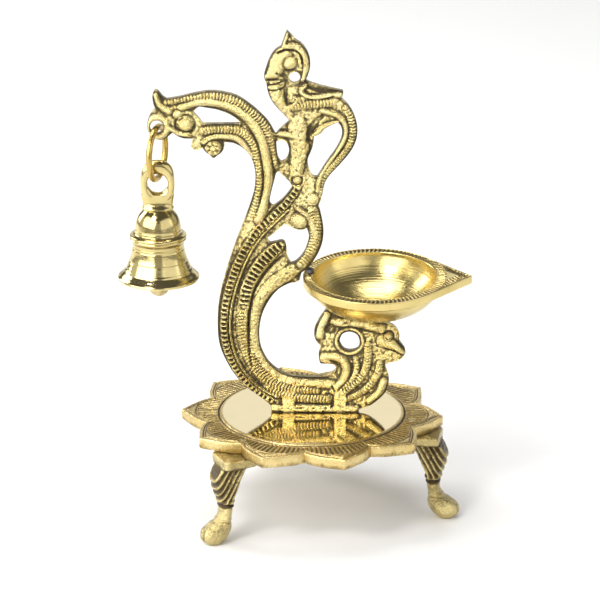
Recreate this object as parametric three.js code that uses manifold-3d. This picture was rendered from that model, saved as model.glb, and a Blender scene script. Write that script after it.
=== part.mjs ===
// Brass standing oil lamp: a scrolled stand with a bird on top carries an oil bowl and a hanging bell,
// and stands on a lotus plate with three cabriole legs.
// Millimetres, +Z up, +X towards the bowl's spout. The origin is the middle of the lamp's box on the ground.

import * as THREE from 'three';
import { mergeVertices } from 'three/addons/utils/BufferGeometryUtils.js';
import Module from 'manifold-3d';

const wasm = await Module();
wasm.setup();

// ---- Driving dimensions ----

const FIT_GAP = 0.3;            // between pieces that rest on or sit in each other

const LEG_HEIGHT = 36.4;
const LEG_RADIUS = 46.5;        // from the plate's axis to the middle of a leg's top block
const LEG_BLOCK_LENGTH = 14;    // the top block, along the radius
const LEG_BLOCK_WIDTH = 15;
const LEG_ANKLE_WIDTH = 7;
const LEG_ANGLES = { front_left: 228, right: 348, rear: 108 };    // where each leg stands round the plate
const LEG_TURNS = { front_left: 205, right: 350, rear: 108 };     // the way its foot points

const PETALS = 10;
const PETAL_TURN = -4;          // degrees, the first petal's tip from +X
const PETAL_TIP_RADIUS = 53.5;
const PETAL_VALLEY_RADIUS = 44.5;
const PETAL_SHOULDER = 0.6;     // how far out a petal's edge is near its tip, from valley to tip
const PETAL_FLANK = 0.3;        // and near the valley
const PLATE_EDGE = 4.6;
const PLATE_WEB = 1.7;          // the plate's thickness over its hollow underside
const PLATE_SKIRT = 3;          // the width of the full-height edge
const DISC_RADIUS = 37.6;
const DISC_RISE = 0.5;

const LEG_RIVET_RADIUS = 1.6;
const LEG_RIVET_DEPTH = 7;      // into the leg, below the plate
const LEG_RIVET_INSET = 5;      // from the middle of the leg's block towards the plate's axis
const LEG_PAD_MARGIN = 1;       // of full plate thickness around a leg's top block

const STAND_HEIGHT = 161.1;
const STAND_LENGTH = 103.6;
const STAND_THICKNESS = 6.2;
const RING_LAND_THICKNESS = 5;  // the snout around the bell's ring
const RING_LAND_RADIUS = 5.3;
const RING_HOLE_RADIUS = 2.7;
const NECK_HOLE_RADIUS = 2.3;

const SCREW_RADIUS = 2;
const SCREW_DEPTH = 9;          // into the stand's foot
const SCREW_HEAD_RADIUS = 3.6;
const SCREW_HEAD_HEIGHT = 2.4;
const SCREW_SLOT = 0.9;
const WASHER_RADIUS = 4.6;
const WASHER_THICKNESS = 0.8;

const BOWL_RADIUS = 29;         // the round part of the rim
const BOWL_SPOUT = 39.2;        // from the bowl's axis to the spout's tip
const BOWL_DEPTH = 16.2;
const BOWL_WALL = 1.4;
const BOWL_LIP = 4;             // the flat rim's width
const BOWL_BAND = 3.6;          // the rim's height
const BOWL_TILT = 3;            // degrees, the near side of the rim is lower
const BOWL_SHOULDER = 0.6;      // the underside's step outside the bowl's wall
const BOWL_NUB_GAP = 1;         // between the stand's nub and the rim
const BRAZE_LENGTH = 3.6;       // the lump that joins the rim to the nub
const BRAZE_WIDTH = 5.2;
const BRAZE_HEIGHT = 3.2;

const RING_RADIUS = 10.6;       // to the middle of the wire
const RING_WIRE = 1.3;
const RING_TURN = 16;           // degrees, the ring's plane from the lamp's cross-section
const RING_SAG = 0.5;           // the wire's middle below the middle of its hole

const BELL_RADIUS = 16.6;
const BELL_HEIGHT = 29.2;
const BELL_WALL = 1.9;
const BELL_LOOP_THICKNESS = 5;
const BELL_LOOP_HOLE = 3.9;
const BELL_LOOP_WIDTH = 14;
const BELL_LOOP_BAR = 5.8;      // above the hole
const BELL_LOOP_NECK = 7;       // from the hole down to the bell's crown

const EYE_RADIUS = 2.4;
const EYE_WIRE = 0.6;
const EYE_SHANK = 3;
const CLAPPER_HOOK_RADIUS = 1.9;
const CLAPPER_WIRE = 0.6;
const CLAPPER_DROP = 24;        // from the eye to the ball's middle
const CLAPPER_BALL_RADIUS = 4.3;
const HOOK_CLEARANCE = 0.2;     // between the clapper's hook and the eye

// ---- Materials ----

const metal = (color, roughness) => new THREE.MeshStandardMaterial({ color, roughness, metalness: 1 });
const CAST_BRASS = metal(0xc9a24a, 0.42);
const TURNED_BRASS = metal(0xe2c878, 0.2);
const WIRE_BRASS = metal(0xcf9a3c, 0.35);
const STEEL = metal(0x9a9c9e, 0.4);
const SOLDER = metal(0x4a4744, 0.55);

// ---- Geometry helpers ----

const radians = THREE.MathUtils.degToRad;

function solid(geometry) {
  const bare = geometry.clone();
  bare.deleteAttribute('normal');
  bare.deleteAttribute('uv');
  const merged = mergeVertices(bare, 1e-4);
  const vertProperties = new Float32Array(merged.attributes.position.array);
  const triVerts = new Uint32Array(merged.index.array);
  return new wasm.Manifold(new wasm.Mesh({ numProp: 3, vertProperties, triVerts }));
}

function geometryOf(manifold) {
  const mesh = manifold.getMesh();
  const geometry = new THREE.BufferGeometry();
  geometry.setAttribute('position', new THREE.BufferAttribute(new Float32Array(mesh.vertProperties), 3));
  geometry.setIndex(new THREE.BufferAttribute(new Uint32Array(mesh.triVerts), 1));
  geometry.computeVertexNormals();
  return geometry;
}

function piece(name, manifold, material) {
  const mesh = new THREE.Mesh(geometryOf(manifold), material);
  mesh.name = name;
  return mesh;
}

// A shape drawn in the XZ plane and thickened along Y, with its middle on y = 0.
function slab(shape, thickness, curveSegments = 4) {
  const settings = { depth: thickness, bevelEnabled: false, curveSegments };
  const geometry = new THREE.ExtrudeGeometry(shape, settings);
  geometry.translate(0, 0, -thickness / 2);
  geometry.rotateX(Math.PI / 2);
  return solid(geometry);
}

// A shape drawn in the XY plane and thickened upwards from z = bottom.
function plate(shape, bottom, thickness, curveSegments = 4) {
  const settings = { depth: thickness, bevelEnabled: false, curveSegments };
  const geometry = new THREE.ExtrudeGeometry(shape, settings);
  geometry.translate(0, 0, bottom);
  return solid(geometry);
}

// A profile of [radius, z] points turned about the Z axis, listed from the bottom up the outside.
function turned(profile, segments = 48) {
  const geometry = new THREE.LatheGeometry(profile.map(([r, z]) => new THREE.Vector2(r, z)), segments);
  geometry.rotateX(Math.PI / 2);
  return solid(geometry);
}

function rod(radius, bottom, top, segments = 24) {
  const geometry = new THREE.CylinderGeometry(radius, radius, top - bottom, segments);
  geometry.rotateX(Math.PI / 2);
  geometry.translate(0, 0, (top + bottom) / 2);
  return solid(geometry);
}

// A cylinder along Y through (x, z).
function crossBore(x, z, radius, length, segments = 28) {
  const geometry = new THREE.CylinderGeometry(radius, radius, length, segments);
  geometry.translate(x, 0, z);
  return solid(geometry);
}

// A closed outline: each run is one [x, z] corner or a smooth curve through several points.
function outline(start, runs, place = (point) => point) {
  const shape = new THREE.Shape();
  shape.moveTo(...place(start));
  for (const run of runs) {
    if (run.length === 1) {
      shape.lineTo(...place(run[0]));
    } else {
      shape.splineThru(run.map((point) => new THREE.Vector2(...place(point))));
    }
  }
  shape.closePath();
  return shape;
}

// ---- Heights that the pieces share ----

const PLATE_BOTTOM = LEG_HEIGHT + FIT_GAP;
const DISC_TOP = PLATE_BOTTOM + PLATE_EDGE + DISC_RISE;
const WEB_BOTTOM = PLATE_BOTTOM + PLATE_EDGE - PLATE_WEB;
const STAND_BOTTOM = DISC_TOP + FIT_GAP;

// ---- The stand's drawing grid: one unit is a millimetre at the drawn size ----

const GRID_HEIGHT = 161.5;
const GRID_LENGTH = 103.6;
const gridX = (u) => (u * STAND_LENGTH) / GRID_LENGTH;
const gridZ = (v) => STAND_BOTTOM + (v * STAND_HEIGHT) / GRID_HEIGHT;
const onGrid = ([u, v]) => [gridX(u), gridZ(v)];

const RING_HOLE = [-61.8, 121.6];
const NECK_HOLE = [-7, 142.2];
const BOWL_SEAT = 41.6;         // the height of the pad that the bowl rests on
const BOWL_NUB = -4.7;          // the nub that the rim's near end meets
const BOWL_RIM = BOWL_SEAT + ((BOWL_DEPTH + 2 * FIT_GAP) * GRID_HEIGHT) / STAND_HEIGHT;
const FOOT_SCREWS = [-9.5, 11.5];

const STAND_EDGE = {
  start: [-16.5, 0],
  runs: [
    [[-16.8, 2.5]],
    // the back of the C, up to the underside of the arch
    [[-20, 5.5], [-26, 10], [-31, 15.5], [-35, 22.5], [-37.6, 30], [-38.2, 39], [-37.7, 47], [-36.2, 55],
      [-33.4, 65], [-30, 75], [-26.6, 84], [-24.4, 90.5], [-23, 96], [-22.7, 102], [-23.6, 107],
      [-25.2, 110.3], [-28, 113.2], [-31.5, 115], [-35, 115.3]],
    // the curl under the arch, and the small leaf beside it
    [[-35, 113.2], [-36.2, 111], [-38.2, 109.4]],
    [[-39.3, 108.4]],
    [[-40.6, 109.7], [-42.4, 111.2], [-43.8, 113]],
    [[-45.5, 111.9], [-47.2, 112.2], [-48.1, 113.6], [-47.8, 115.4], [-47.3, 116.8]],
    // the jaw, the snout round the ring's hole, and the horn
    [[-49, 116.8], [-51.5, 117], [-53.8, 118], [-55.6, 119.3]],
    [[-57, 118], [-59, 116.6], [-61.5, 116.3], [-63.8, 117.4], [-65.2, 119.6], [-65.6, 122.3], [-65, 125.3],
      [-63.8, 127.6], [-62.3, 129]],
    [[-63, 131.2], [-63.4, 134], [-63, 136], [-62, 136.9], [-60.8, 136.2], [-59.6, 134.6], [-57.8, 133.2]],
    // the top of the arch, down to the bird's trunk
    [[-53, 134], [-47, 135.5], [-41, 136.5], [-35, 136], [-29.5, 134.3], [-24.5, 130.8], [-20.5, 127.2],
      [-17.3, 123.6], [-14.5, 118.5]],
    [[-13.3, 120.2], [-11, 122.4], [-8.9, 124.2]],
    // the bird: breast, beak and crest, then its back and the end of its wing
    [[-10.8, 126.4], [-14, 129.8], [-16.3, 133], [-17.6, 136.5], [-18.2, 139.8], [-19.1, 142.4], [-18.6, 145],
      [-17, 149.8], [-14.8, 153.3], [-12.4, 154.9]],
    [[-10.1, 161.5]],
    [[-8.4, 159.8], [-6.6, 157.7], [-4.3, 156.2], [-2.2, 153.3], [-1, 150], [-0.9, 146.5], [-1.5, 144],
      [-2.6, 141]],
    [[0, 139.8], [5, 138.3], [12.4, 136.6]],
    [[12.1, 134.9]],
    [[11.6, 133.3]],
    // the tail plume, and the strand below it down to the bowl
    [[13.7, 131.4], [16, 128], [17.6, 123.5], [18, 119.5], [17.2, 115.3], [15, 111], [11, 106], [7.2, 101.7],
      [5.1, 98.2], [4.3, 94.5], [3.7, 91.5], [2.5, 88.6]],
    [[3.4, 85.5], [4.3, 81], [4.6, 77], [4, 72.5], [2.4, 68.3], [0, 64.2], [-2, BOWL_RIM + 3.4],
      [-4.2, BOWL_RIM + 1.6]],
    [[-5, BOWL_RIM - 1.5]],
    // the inside of the C
    [[-6.5, 55.9], [-8.5, 55.7], [-11, 54.6], [-13.5, 53], [-16, 50.2], [-18.4, 46.3], [-20.2, 42],
      [-21.2, 36.5], [-21.2, 31], [-20.2, 26.5], [-17.5, 21.5], [-13.5, 17.7], [-9, 15.7], [-3, 15], [3, 15.1],
      [7, 16], [9.4, 17.8], [9.6, 19.3], [8.6, 20.4]],
    [[3.4, 20.8]],
    // the scroll under the bowl
    [[2.8, 23], [2.8, 25.5], [3.7, 28.2]],
    [[1.7, 30.6], [0.9, 33.5], [1.3, 36.7], [3, 40.2], [5.7, 44.4]],
    [[9, 42.5], [14, BOWL_SEAT], [20, BOWL_SEAT - 0.4], [26, 39.6], [31, 38.3]],
    // the lower bird: head, beak and breast
    [[33.6, 36.7], [35.4, 33.7], [35.3, 30.8]],
    [[36.4, 29.2], [37.6, 27.4], [38, 25.6]],
    [[36.8, 23.4], [35, 22], [32.3, 21.3], [29.7, 20.4]],
    [[30.4, 18], [31.3, 15], [31, 11.5], [29.7, 8], [27, 5], [23, 2], [19.5, 1]],
    [[19, 0]],
  ],
};

const STAND_WINDOWS = [
  // inside the arch
  { start: [-43.4, 122.9],
    runs: [[[-28.4, 123.1]], [[-30.3, 125.3], [-33.5, 127.3], [-38, 129], [-42, 129.7], [-44.8, 130.2]],
      [[-46.3, 129.2], [-47.2, 127.7]], [[-45.2, 125.4], [-43.4, 122.9]]] },
  // between the arch and the bird's trunk, above and below the bridge
  { start: [-14.3, 115.6],
    runs: [[[-12.4, 116.2], [-10.4, 115.4], [-9.3, 112.8], [-9.5, 110], [-10.7, 107.8], [-12.4, 107.1]],
      [[-13.6, 109], [-14.1, 112], [-14.3, 115.6]]] },
  { start: [-13.2, 103],
    runs: [[[-11.3, 101], [-9, 98.6], [-7.9, 96.5]], [[-10, 93.4], [-13, 90.2], [-15.6, 88.4]],
      [[-17, 90.2], [-16.3, 94.5], [-15.1, 99.5], [-14.3, 102.4], [-13.2, 103]]] },
  // inside the tail plume
  { start: [2, 100.8],
    runs: [[[3.6, 103.4], [6.2, 107.6], [9.2, 112], [11.4, 116.5], [11.9, 119.8], [11.2, 122.4], [10, 123.5]],
      [[7.2, 122.2], [4.6, 120.5], [3.5, 119], [0.7, 117.7]],
      [[0.3, 114], [-0.7, 111], [-1.8, 108], [-1.4, 104.6], [-0.2, 101.4], [2, 100.8]]] },
  // between the fan, the strands and the scroll
  { start: [-18, 74.8],
    runs: [[[-14.5, 77.6], [-11.3, 80.7]], [[-9.5, 80.2], [-7.2, 78.9], [-4.5, 78.3], [-2.1, 79]],
      [[-1.3, 76], [-1.7, 73], [-3, 69.3], [-5, 66.3], [-7, 64.6], [-8.5, 64.1]],
      [[-10, 67.3], [-10.2, 70], [-10.8, 72.8], [-12.2, 73.8]], [[-15, 73.1], [-17, 72.9], [-18, 74.8]]] },
  // the round hole under the bowl's pad
  { start: [11.1, 30.8],
    runs: [[[12.4, 33.6], [15.2, 34.6], [18.1, 33.4], [19.3, 30.6], [18.8, 27.6], [16, 26.5], [13, 27.2],
      [11.1, 30.8]]] },
];

// ---- The plate and its legs ----

function lotusShape() {
  const tip = (index) => radians(PETAL_TURN + (index * 360) / PETALS);
  const at = (angle, radius) => new THREE.Vector2(radius * Math.cos(angle), radius * Math.sin(angle));
  const half = Math.PI / PETALS;
  const reach = (share) => PETAL_VALLEY_RADIUS + share * (PETAL_TIP_RADIUS - PETAL_VALLEY_RADIUS);
  const shoulder = reach(PETAL_SHOULDER);
  const flank = reach(PETAL_FLANK);
  const shape = new THREE.Shape();
  const first = at(tip(0) - half, PETAL_VALLEY_RADIUS);
  shape.moveTo(first.x, first.y);
  for (let index = 0; index < PETALS; index += 1) {
    const middle = tip(index);
    shape.splineThru([at(middle - 0.75 * half, flank), at(middle - 0.42 * half, shoulder),
      at(middle, PETAL_TIP_RADIUS)]);
    shape.splineThru([at(middle + 0.42 * half, shoulder), at(middle + 0.75 * half, flank),
      at(middle + half, PETAL_VALLEY_RADIUS)]);
  }
  shape.closePath();
  return shape;
}

const rivetRadius = LEG_RADIUS - LEG_RIVET_INSET;

function basePlate() {
  let body = plate(lotusShape(), PLATE_BOTTOM, PLATE_EDGE);
  body = body.add(rod(DISC_RADIUS, WEB_BOTTOM, DISC_TOP, 72));
  const shrink = 1 - PLATE_SKIRT / PETAL_VALLEY_RADIUS;
  let hollow = plate(lotusShape(), PLATE_BOTTOM - 1, WEB_BOTTOM - PLATE_BOTTOM + 1, 2);
  hollow = hollow.scale([shrink, shrink, 1]);
  for (const [name, angle] of Object.entries(LEG_ANGLES)) {
    const pad = new THREE.BoxGeometry(LEG_BLOCK_LENGTH + 2 * LEG_PAD_MARGIN,
      LEG_BLOCK_WIDTH + 2 * LEG_PAD_MARGIN, LEG_HEIGHT * 3);
    const place = [LEG_RADIUS * Math.cos(radians(angle)), LEG_RADIUS * Math.sin(radians(angle)), 0];
    hollow = hollow.subtract(solid(pad).rotate([0, 0, LEG_TURNS[name]]).translate(place));
  }
  body = body.subtract(hollow);
  for (const angle of Object.values(LEG_ANGLES)) {
    const bore = rod(LEG_RIVET_RADIUS + FIT_GAP, PLATE_BOTTOM - 1, DISC_TOP + 1);
    body = body.subtract(bore.translate([rivetRadius * Math.cos(radians(angle)),
      rivetRadius * Math.sin(radians(angle)), 0]));
  }
  for (const u of FOOT_SCREWS) {
    body = body.subtract(rod(SCREW_RADIUS + FIT_GAP, PLATE_BOTTOM, DISC_TOP + 1).translate([gridX(u), 0, 0]));
  }
  return piece('base_plate', body, TURNED_BRASS);
}

// A leg seen from the side, with x outwards from the middle of its top block.
function legSide() {
  const half = LEG_BLOCK_LENGTH / 2;
  const h = (share) => share * LEG_HEIGHT;
  return outline([-half, LEG_HEIGHT], [
    [[half, LEG_HEIGHT]],
    [[half, h(0.91)]],
    [[half + 2.4, h(0.85)], [half + 3.2, h(0.74)], [half + 1.8, h(0.58)], [half - 0.4, h(0.44)],
      [half - 1, h(0.34)], [half + 0.5, h(0.26)], [half + 4, h(0.22)], [half + 7, h(0.17)],
      [half + 8, h(0.1)], [half + 7.2, h(0.04)], [half + 5.5, 0]],
    [[half - 0.5, 0]],
    [[half - 3, h(0.06)], [half - 5.2, h(0.15)], [half - 5.3, h(0.2)], [half - 4.8, h(0.27)],
      [half - 5.2, h(0.38)], [half - 6.6, h(0.55)], [half - 9, h(0.71)], [-half + 2.6, h(0.85)],
      [-half, h(0.91)]],
  ]);
}

// A leg seen from outside.
function legFront() {
  const h = (share) => share * LEG_HEIGHT;
  const top = LEG_BLOCK_WIDTH / 2;
  const ankle = LEG_ANKLE_WIDTH / 2;
  const right = [[top - 1.6, h(0.9)], [top - 1.9, h(0.78)], [top - 2.8, h(0.6)], [ankle + 0.6, h(0.44)],
    [ankle, h(0.32)], [ankle + 0.9, h(0.2)], [ankle + 1.2, h(0.1)], [ankle + 0.6, 0]];
  const left = right.map(([x, z]) => [-x, z]).reverse();
  return outline([-top, LEG_HEIGHT], [
    [[top, LEG_HEIGHT]],
    [[top, h(0.91)]],
    right,
    [left[0]],
    left.slice(1),
    [[-top, h(0.91)]],
  ]);
}

function leg(name, angle) {
  const lean = radians(angle - LEG_TURNS[name]);
  const side = slab(legSide(), LEG_BLOCK_WIDTH + 2, 3);
  const front = slab(legFront(), LEG_BLOCK_LENGTH + 40, 3).rotate([0, 0, 90]);
  const bore = rod(LEG_RIVET_RADIUS + FIT_GAP, LEG_HEIGHT - LEG_RIVET_DEPTH - FIT_GAP, LEG_HEIGHT + 1);
  const place = [-LEG_RIVET_INSET * Math.cos(lean), -LEG_RIVET_INSET * Math.sin(lean), 0];
  const body = side.intersect(front).subtract(bore.translate(place));
  const mesh = piece(`leg_${name}`, body, CAST_BRASS);
  mesh.position.set(LEG_RADIUS * Math.cos(radians(angle)), LEG_RADIUS * Math.sin(radians(angle)), 0);
  mesh.rotation.z = radians(LEG_TURNS[name]);
  return mesh;
}

function legRivet(name, angle) {
  const body = rod(LEG_RIVET_RADIUS, LEG_HEIGHT - LEG_RIVET_DEPTH, PLATE_BOTTOM + PLATE_EDGE);
  const mesh = piece(`leg_rivet_${name}`, body, CAST_BRASS);
  mesh.position.set(rivetRadius * Math.cos(radians(angle)), rivetRadius * Math.sin(radians(angle)), 0);
  return mesh;
}

// ---- The stand and what holds it ----

function scrollStand() {
  let body = slab(outline(STAND_EDGE.start, STAND_EDGE.runs, onGrid), STAND_THICKNESS, 2);
  for (const { start, runs } of STAND_WINDOWS) {
    body = body.subtract(slab(outline(start, runs, onGrid), STAND_THICKNESS + 2, 2));
  }
  const [ringX, ringZ] = onGrid(RING_HOLE);
  const [neckX, neckZ] = onGrid(NECK_HOLE);
  body = body.subtract(crossBore(ringX, ringZ, RING_HOLE_RADIUS, STAND_THICKNESS + 2));
  body = body.subtract(crossBore(neckX, neckZ, NECK_HOLE_RADIUS, STAND_THICKNESS + 2));
  const landShift = (RING_LAND_THICKNESS + STAND_THICKNESS) / 2;
  for (const side of [-1, 1]) {
    const land = crossBore(ringX, ringZ, RING_LAND_RADIUS, STAND_THICKNESS);
    body = body.subtract(land.translate([0, side * landShift, 0]));
  }
  for (const u of FOOT_SCREWS) {
    const bore = rod(SCREW_RADIUS + FIT_GAP, STAND_BOTTOM - 1, STAND_BOTTOM + SCREW_DEPTH + FIT_GAP);
    body = body.subtract(bore.translate([gridX(u), 0, 0]));
  }
  return piece('scroll_stand', body, CAST_BRASS);
}

function standScrew(name, u) {
  const headTop = WEB_BOTTOM - WASHER_THICKNESS - 2 * FIT_GAP;
  const headBottom = headTop - SCREW_HEAD_HEIGHT;
  let body = turned([[0, headBottom], [SCREW_HEAD_RADIUS - 1, headBottom],
    [SCREW_HEAD_RADIUS, headBottom + 1], [SCREW_HEAD_RADIUS, headTop], [SCREW_RADIUS, headTop],
    [SCREW_RADIUS, STAND_BOTTOM + SCREW_DEPTH - 1],
    [SCREW_RADIUS - 1, STAND_BOTTOM + SCREW_DEPTH], [0, STAND_BOTTOM + SCREW_DEPTH]], 28);
  const slot = new THREE.BoxGeometry(SCREW_HEAD_RADIUS * 3, SCREW_SLOT, 2.2);
  slot.translate(0, 0, headBottom);
  body = body.subtract(solid(slot));
  const mesh = piece(`stand_screw_${name}`, body, STEEL);
  mesh.position.x = gridX(u);
  return mesh;
}

function standWasher(name, u) {
  const top = WEB_BOTTOM - FIT_GAP;
  const inner = SCREW_RADIUS + FIT_GAP;
  const body = turned([[inner, top - WASHER_THICKNESS], [WASHER_RADIUS, top - WASHER_THICKNESS],
    [WASHER_RADIUS, top], [inner, top], [inner, top - WASHER_THICKNESS]], 32);
  const mesh = piece(`stand_washer_${name}`, body, STEEL);
  mesh.position.x = gridX(u);
  return mesh;
}

// ---- The oil bowl, modelled with its axis on Z and its rim's top at z = 0 ----

const bowlX = gridX(BOWL_NUB) + BOWL_NUB_GAP + BOWL_RADIUS;
const bowlZ = gridZ(BOWL_SEAT) + 2 * FIT_GAP + BOWL_DEPTH;

function teardrop(radius, tip) {
  const lean = Math.acos(radius / tip);
  const shape = new THREE.Shape();
  shape.moveTo(tip, 0);
  shape.lineTo(radius * Math.cos(lean), radius * Math.sin(lean));
  shape.absarc(0, 0, radius, lean, 2 * Math.PI - lean, false);
  shape.closePath();
  return shape;
}

// Half of an oval from the axis up to the rim: [radius, z] points.
function bowlCurve(radius, top, bottom, steps = 9) {
  const points = [[0, bottom]];
  for (let step = 1; step <= steps; step += 1) {
    const turn = (step / steps) * (Math.PI / 2);
    points.push([radius * Math.sin(turn) ** 0.8, top + (bottom - top) * Math.cos(turn) ** 1.15]);
  }
  points[steps][1] = top;
  return points;
}

function oilBowl() {
  const inner = BOWL_RADIUS - BOWL_LIP;
  const outer = inner + BOWL_WALL + BOWL_SHOULDER;
  const rim = plate(teardrop(BOWL_RADIUS, BOWL_SPOUT), -BOWL_BAND, BOWL_BAND, 36);
  const shell = turned([...bowlCurve(outer, -BOWL_BAND / 2, -BOWL_DEPTH), [0, -BOWL_BAND / 2]], 48);
  const hollow = turned([...bowlCurve(inner, 0, BOWL_WALL - BOWL_DEPTH), [inner, 1], [0, 1]], 48);
  const mesh = piece('oil_bowl', rim.add(shell).subtract(hollow), TURNED_BRASS);
  mesh.position.set(bowlX, 0, bowlZ);
  mesh.rotation.x = radians(BOWL_TILT);
  return mesh;
}

function bowlBraze() {
  const lump = new THREE.SphereGeometry(1, 16, 10);
  lump.scale(BRAZE_LENGTH / 2, BRAZE_WIDTH / 2, BRAZE_HEIGHT / 2);
  const mesh = piece('bowl_braze', solid(lump), SOLDER);
  mesh.position.set(gridX(BOWL_NUB) + FIT_GAP + BRAZE_LENGTH, 0, bowlZ + BRAZE_HEIGHT / 2 + FIT_GAP);
  return mesh;
}

// ---- The bell on its ring ----

const ringTop = new THREE.Vector3(gridX(RING_HOLE[0]), 0, gridZ(RING_HOLE[1]) - RING_SAG);
const ringCentreZ = ringTop.z - RING_RADIUS;
const ringRise = RING_RADIUS - Math.sqrt(RING_RADIUS ** 2 - (BELL_LOOP_THICKNESS / 2) ** 2);
const loopHoleZ = ringCentreZ - RING_RADIUS + RING_WIRE + ringRise + FIT_GAP - BELL_LOOP_HOLE;
const crownZ = loopHoleZ - BELL_LOOP_HOLE - BELL_LOOP_NECK;
const bellRimZ = crownZ - BELL_HEIGHT;

function bellRing() {
  const ring = new THREE.TorusGeometry(RING_RADIUS, RING_WIRE, 10, 40);
  ring.rotateY(Math.PI / 2);
  const mesh = piece('bell_ring', solid(ring), WIRE_BRASS);
  mesh.position.set(ringTop.x, 0, ringCentreZ);
  mesh.rotation.z = radians(-RING_TURN);
  return mesh;
}

// The bell's outside from the crown to the rim, as [share of the rim's radius, share of the height].
const BELL_OUTSIDE = [[0.34, 1], [0.48, 0.9], [0.56, 0.74], [0.58, 0.66], [0.69, 0.64], [0.69, 0.57],
  [0.63, 0.54], [0.64, 0.43], [0.7, 0.3], [0.81, 0.15], [0.92, 0.06], [1, 0.02]];

function bellLoop() {
  const half = BELL_LOOP_WIDTH / 2;
  const top = loopHoleZ + BELL_LOOP_HOLE + BELL_LOOP_BAR;
  const side = [[half - 0.4, crownZ - 2], [half, loopHoleZ - 1], [half - 0.4, loopHoleZ + 2.5],
    [half - 2.2, top - 2.2], [0, top]];
  const mirrored = side.slice(0, -1).map(([x, z]) => [-x, z]).reverse();
  const shape = outline([half - 0.8, crownZ - 5], [side, mirrored, [[-half + 0.8, crownZ - 5]]]);
  const hole = new THREE.Path();
  hole.absarc(0, loopHoleZ, BELL_LOOP_HOLE, 0, 2 * Math.PI, true);
  shape.holes.push(hole);
  return slab(shape, BELL_LOOP_THICKNESS, 6);
}

function bellBody() {
  const outside = BELL_OUTSIDE.map(([r, z]) => [r * BELL_RADIUS, bellRimZ + z * BELL_HEIGHT]);
  const cup = turned([[0, bellRimZ], [BELL_RADIUS - 0.6, bellRimZ], ...outside.reverse(), [0, crownZ]], 40);
  const hollow = turned([[0, bellRimZ - 1], [BELL_RADIUS - BELL_WALL + 0.5, bellRimZ - 1],
    [0.86 * BELL_RADIUS - BELL_WALL / 2, bellRimZ + 0.05 * BELL_HEIGHT],
    [0.74 * BELL_RADIUS - BELL_WALL, bellRimZ + 0.18 * BELL_HEIGHT],
    [0.64 * BELL_RADIUS - BELL_WALL, bellRimZ + 0.35 * BELL_HEIGHT],
    [0.61 * BELL_RADIUS - BELL_WALL, bellRimZ + 0.55 * BELL_HEIGHT],
    [0.56 * BELL_RADIUS - BELL_WALL, crownZ - 0.28 * BELL_HEIGHT],
    [0.4 * BELL_RADIUS - BELL_WALL, crownZ - 2 * BELL_WALL], [0, crownZ - 1.6 * BELL_WALL]], 40);
  const shankTop = eyeZ + EYE_RADIUS + EYE_SHANK + FIT_GAP;
  const shankBore = rod(EYE_WIRE + FIT_GAP, crownZ - 2 * BELL_WALL, shankTop);
  const body = cup.subtract(hollow).add(bellLoop().subtract(hollow)).subtract(shankBore);
  const mesh = piece('bell_body', body, TURNED_BRASS);
  mesh.position.set(ringTop.x, 0, 0);
  return mesh;
}

// The clapper hangs from an eye whose shank is held in the crown.
const eyeZ = crownZ - 1.6 * BELL_WALL - EYE_RADIUS - EYE_WIRE - FIT_GAP;
const clapperPivotZ = eyeZ - EYE_RADIUS;

function clapperEye() {
  const eye = new THREE.TorusGeometry(EYE_RADIUS, EYE_WIRE, 8, 20);
  eye.rotateX(Math.PI / 2);
  eye.translate(0, 0, eyeZ);
  const shank = rod(EYE_WIRE, eyeZ + EYE_RADIUS, eyeZ + EYE_RADIUS + EYE_SHANK, 14);
  const mesh = piece('clapper_eye', solid(eye).add(shank), WIRE_BRASS);
  mesh.position.x = ringTop.x;
  return mesh;
}

function clapperRod() {
  const hookZ = clapperPivotZ + EYE_WIRE + CLAPPER_WIRE + HOOK_CLEARANCE - CLAPPER_HOOK_RADIUS;
  const hook = new THREE.TorusGeometry(CLAPPER_HOOK_RADIUS, CLAPPER_WIRE, 8, 20);
  hook.rotateY(Math.PI / 2);
  hook.translate(0, 0, hookZ);
  const shaft = rod(CLAPPER_WIRE, clapperPivotZ - CLAPPER_DROP, hookZ - CLAPPER_HOOK_RADIUS, 14);
  const mesh = piece('clapper_rod', solid(hook).add(shaft), WIRE_BRASS);
  mesh.position.x = ringTop.x;
  return mesh;
}

function clapperBall() {
  const centre = clapperPivotZ - CLAPPER_DROP;
  const ball = new THREE.SphereGeometry(CLAPPER_BALL_RADIUS, 20, 12);
  ball.rotateX(Math.PI / 2);
  ball.translate(0, 0, centre);
  const bore = rod(CLAPPER_WIRE + FIT_GAP, centre - FIT_GAP, centre + CLAPPER_BALL_RADIUS + 1, 14);
  const mesh = piece('clapper_ball', solid(ball).subtract(bore), CAST_BRASS);
  mesh.position.x = ringTop.x;
  return mesh;
}

// ---- The lamp ----

const lamp = new THREE.Group();
lamp.add(basePlate());
for (const [name, angle] of Object.entries(LEG_ANGLES)) {
  lamp.add(leg(name, angle));
  lamp.add(legRivet(name, angle));
}
lamp.add(scrollStand());
for (const [index, name] of ['left', 'right'].entries()) {
  lamp.add(standScrew(name, FOOT_SCREWS[index]));
  lamp.add(standWasher(name, FOOT_SCREWS[index]));
}
lamp.add(oilBowl());
lamp.add(bowlBraze());
lamp.add(bellRing());
lamp.add(bellBody());
lamp.add(clapperEye());
lamp.add(clapperRod());
lamp.add(clapperBall());

// The origin is under the middle of the whole lamp.
lamp.updateMatrixWorld(true);
const middle = new THREE.Box3().setFromObject(lamp, true).getCenter(new THREE.Vector3());
lamp.position.set(-middle.x, -middle.y, 0);

export default lamp;
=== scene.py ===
"""Looks of a brass standing oil lamp: scrolled stand, hanging bell, oil bowl, lotus plate and three legs."""

import math
from functools import partial

import bpy
import numpy as np
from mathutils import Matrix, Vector
from mathutils.kdtree import KDTree


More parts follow.
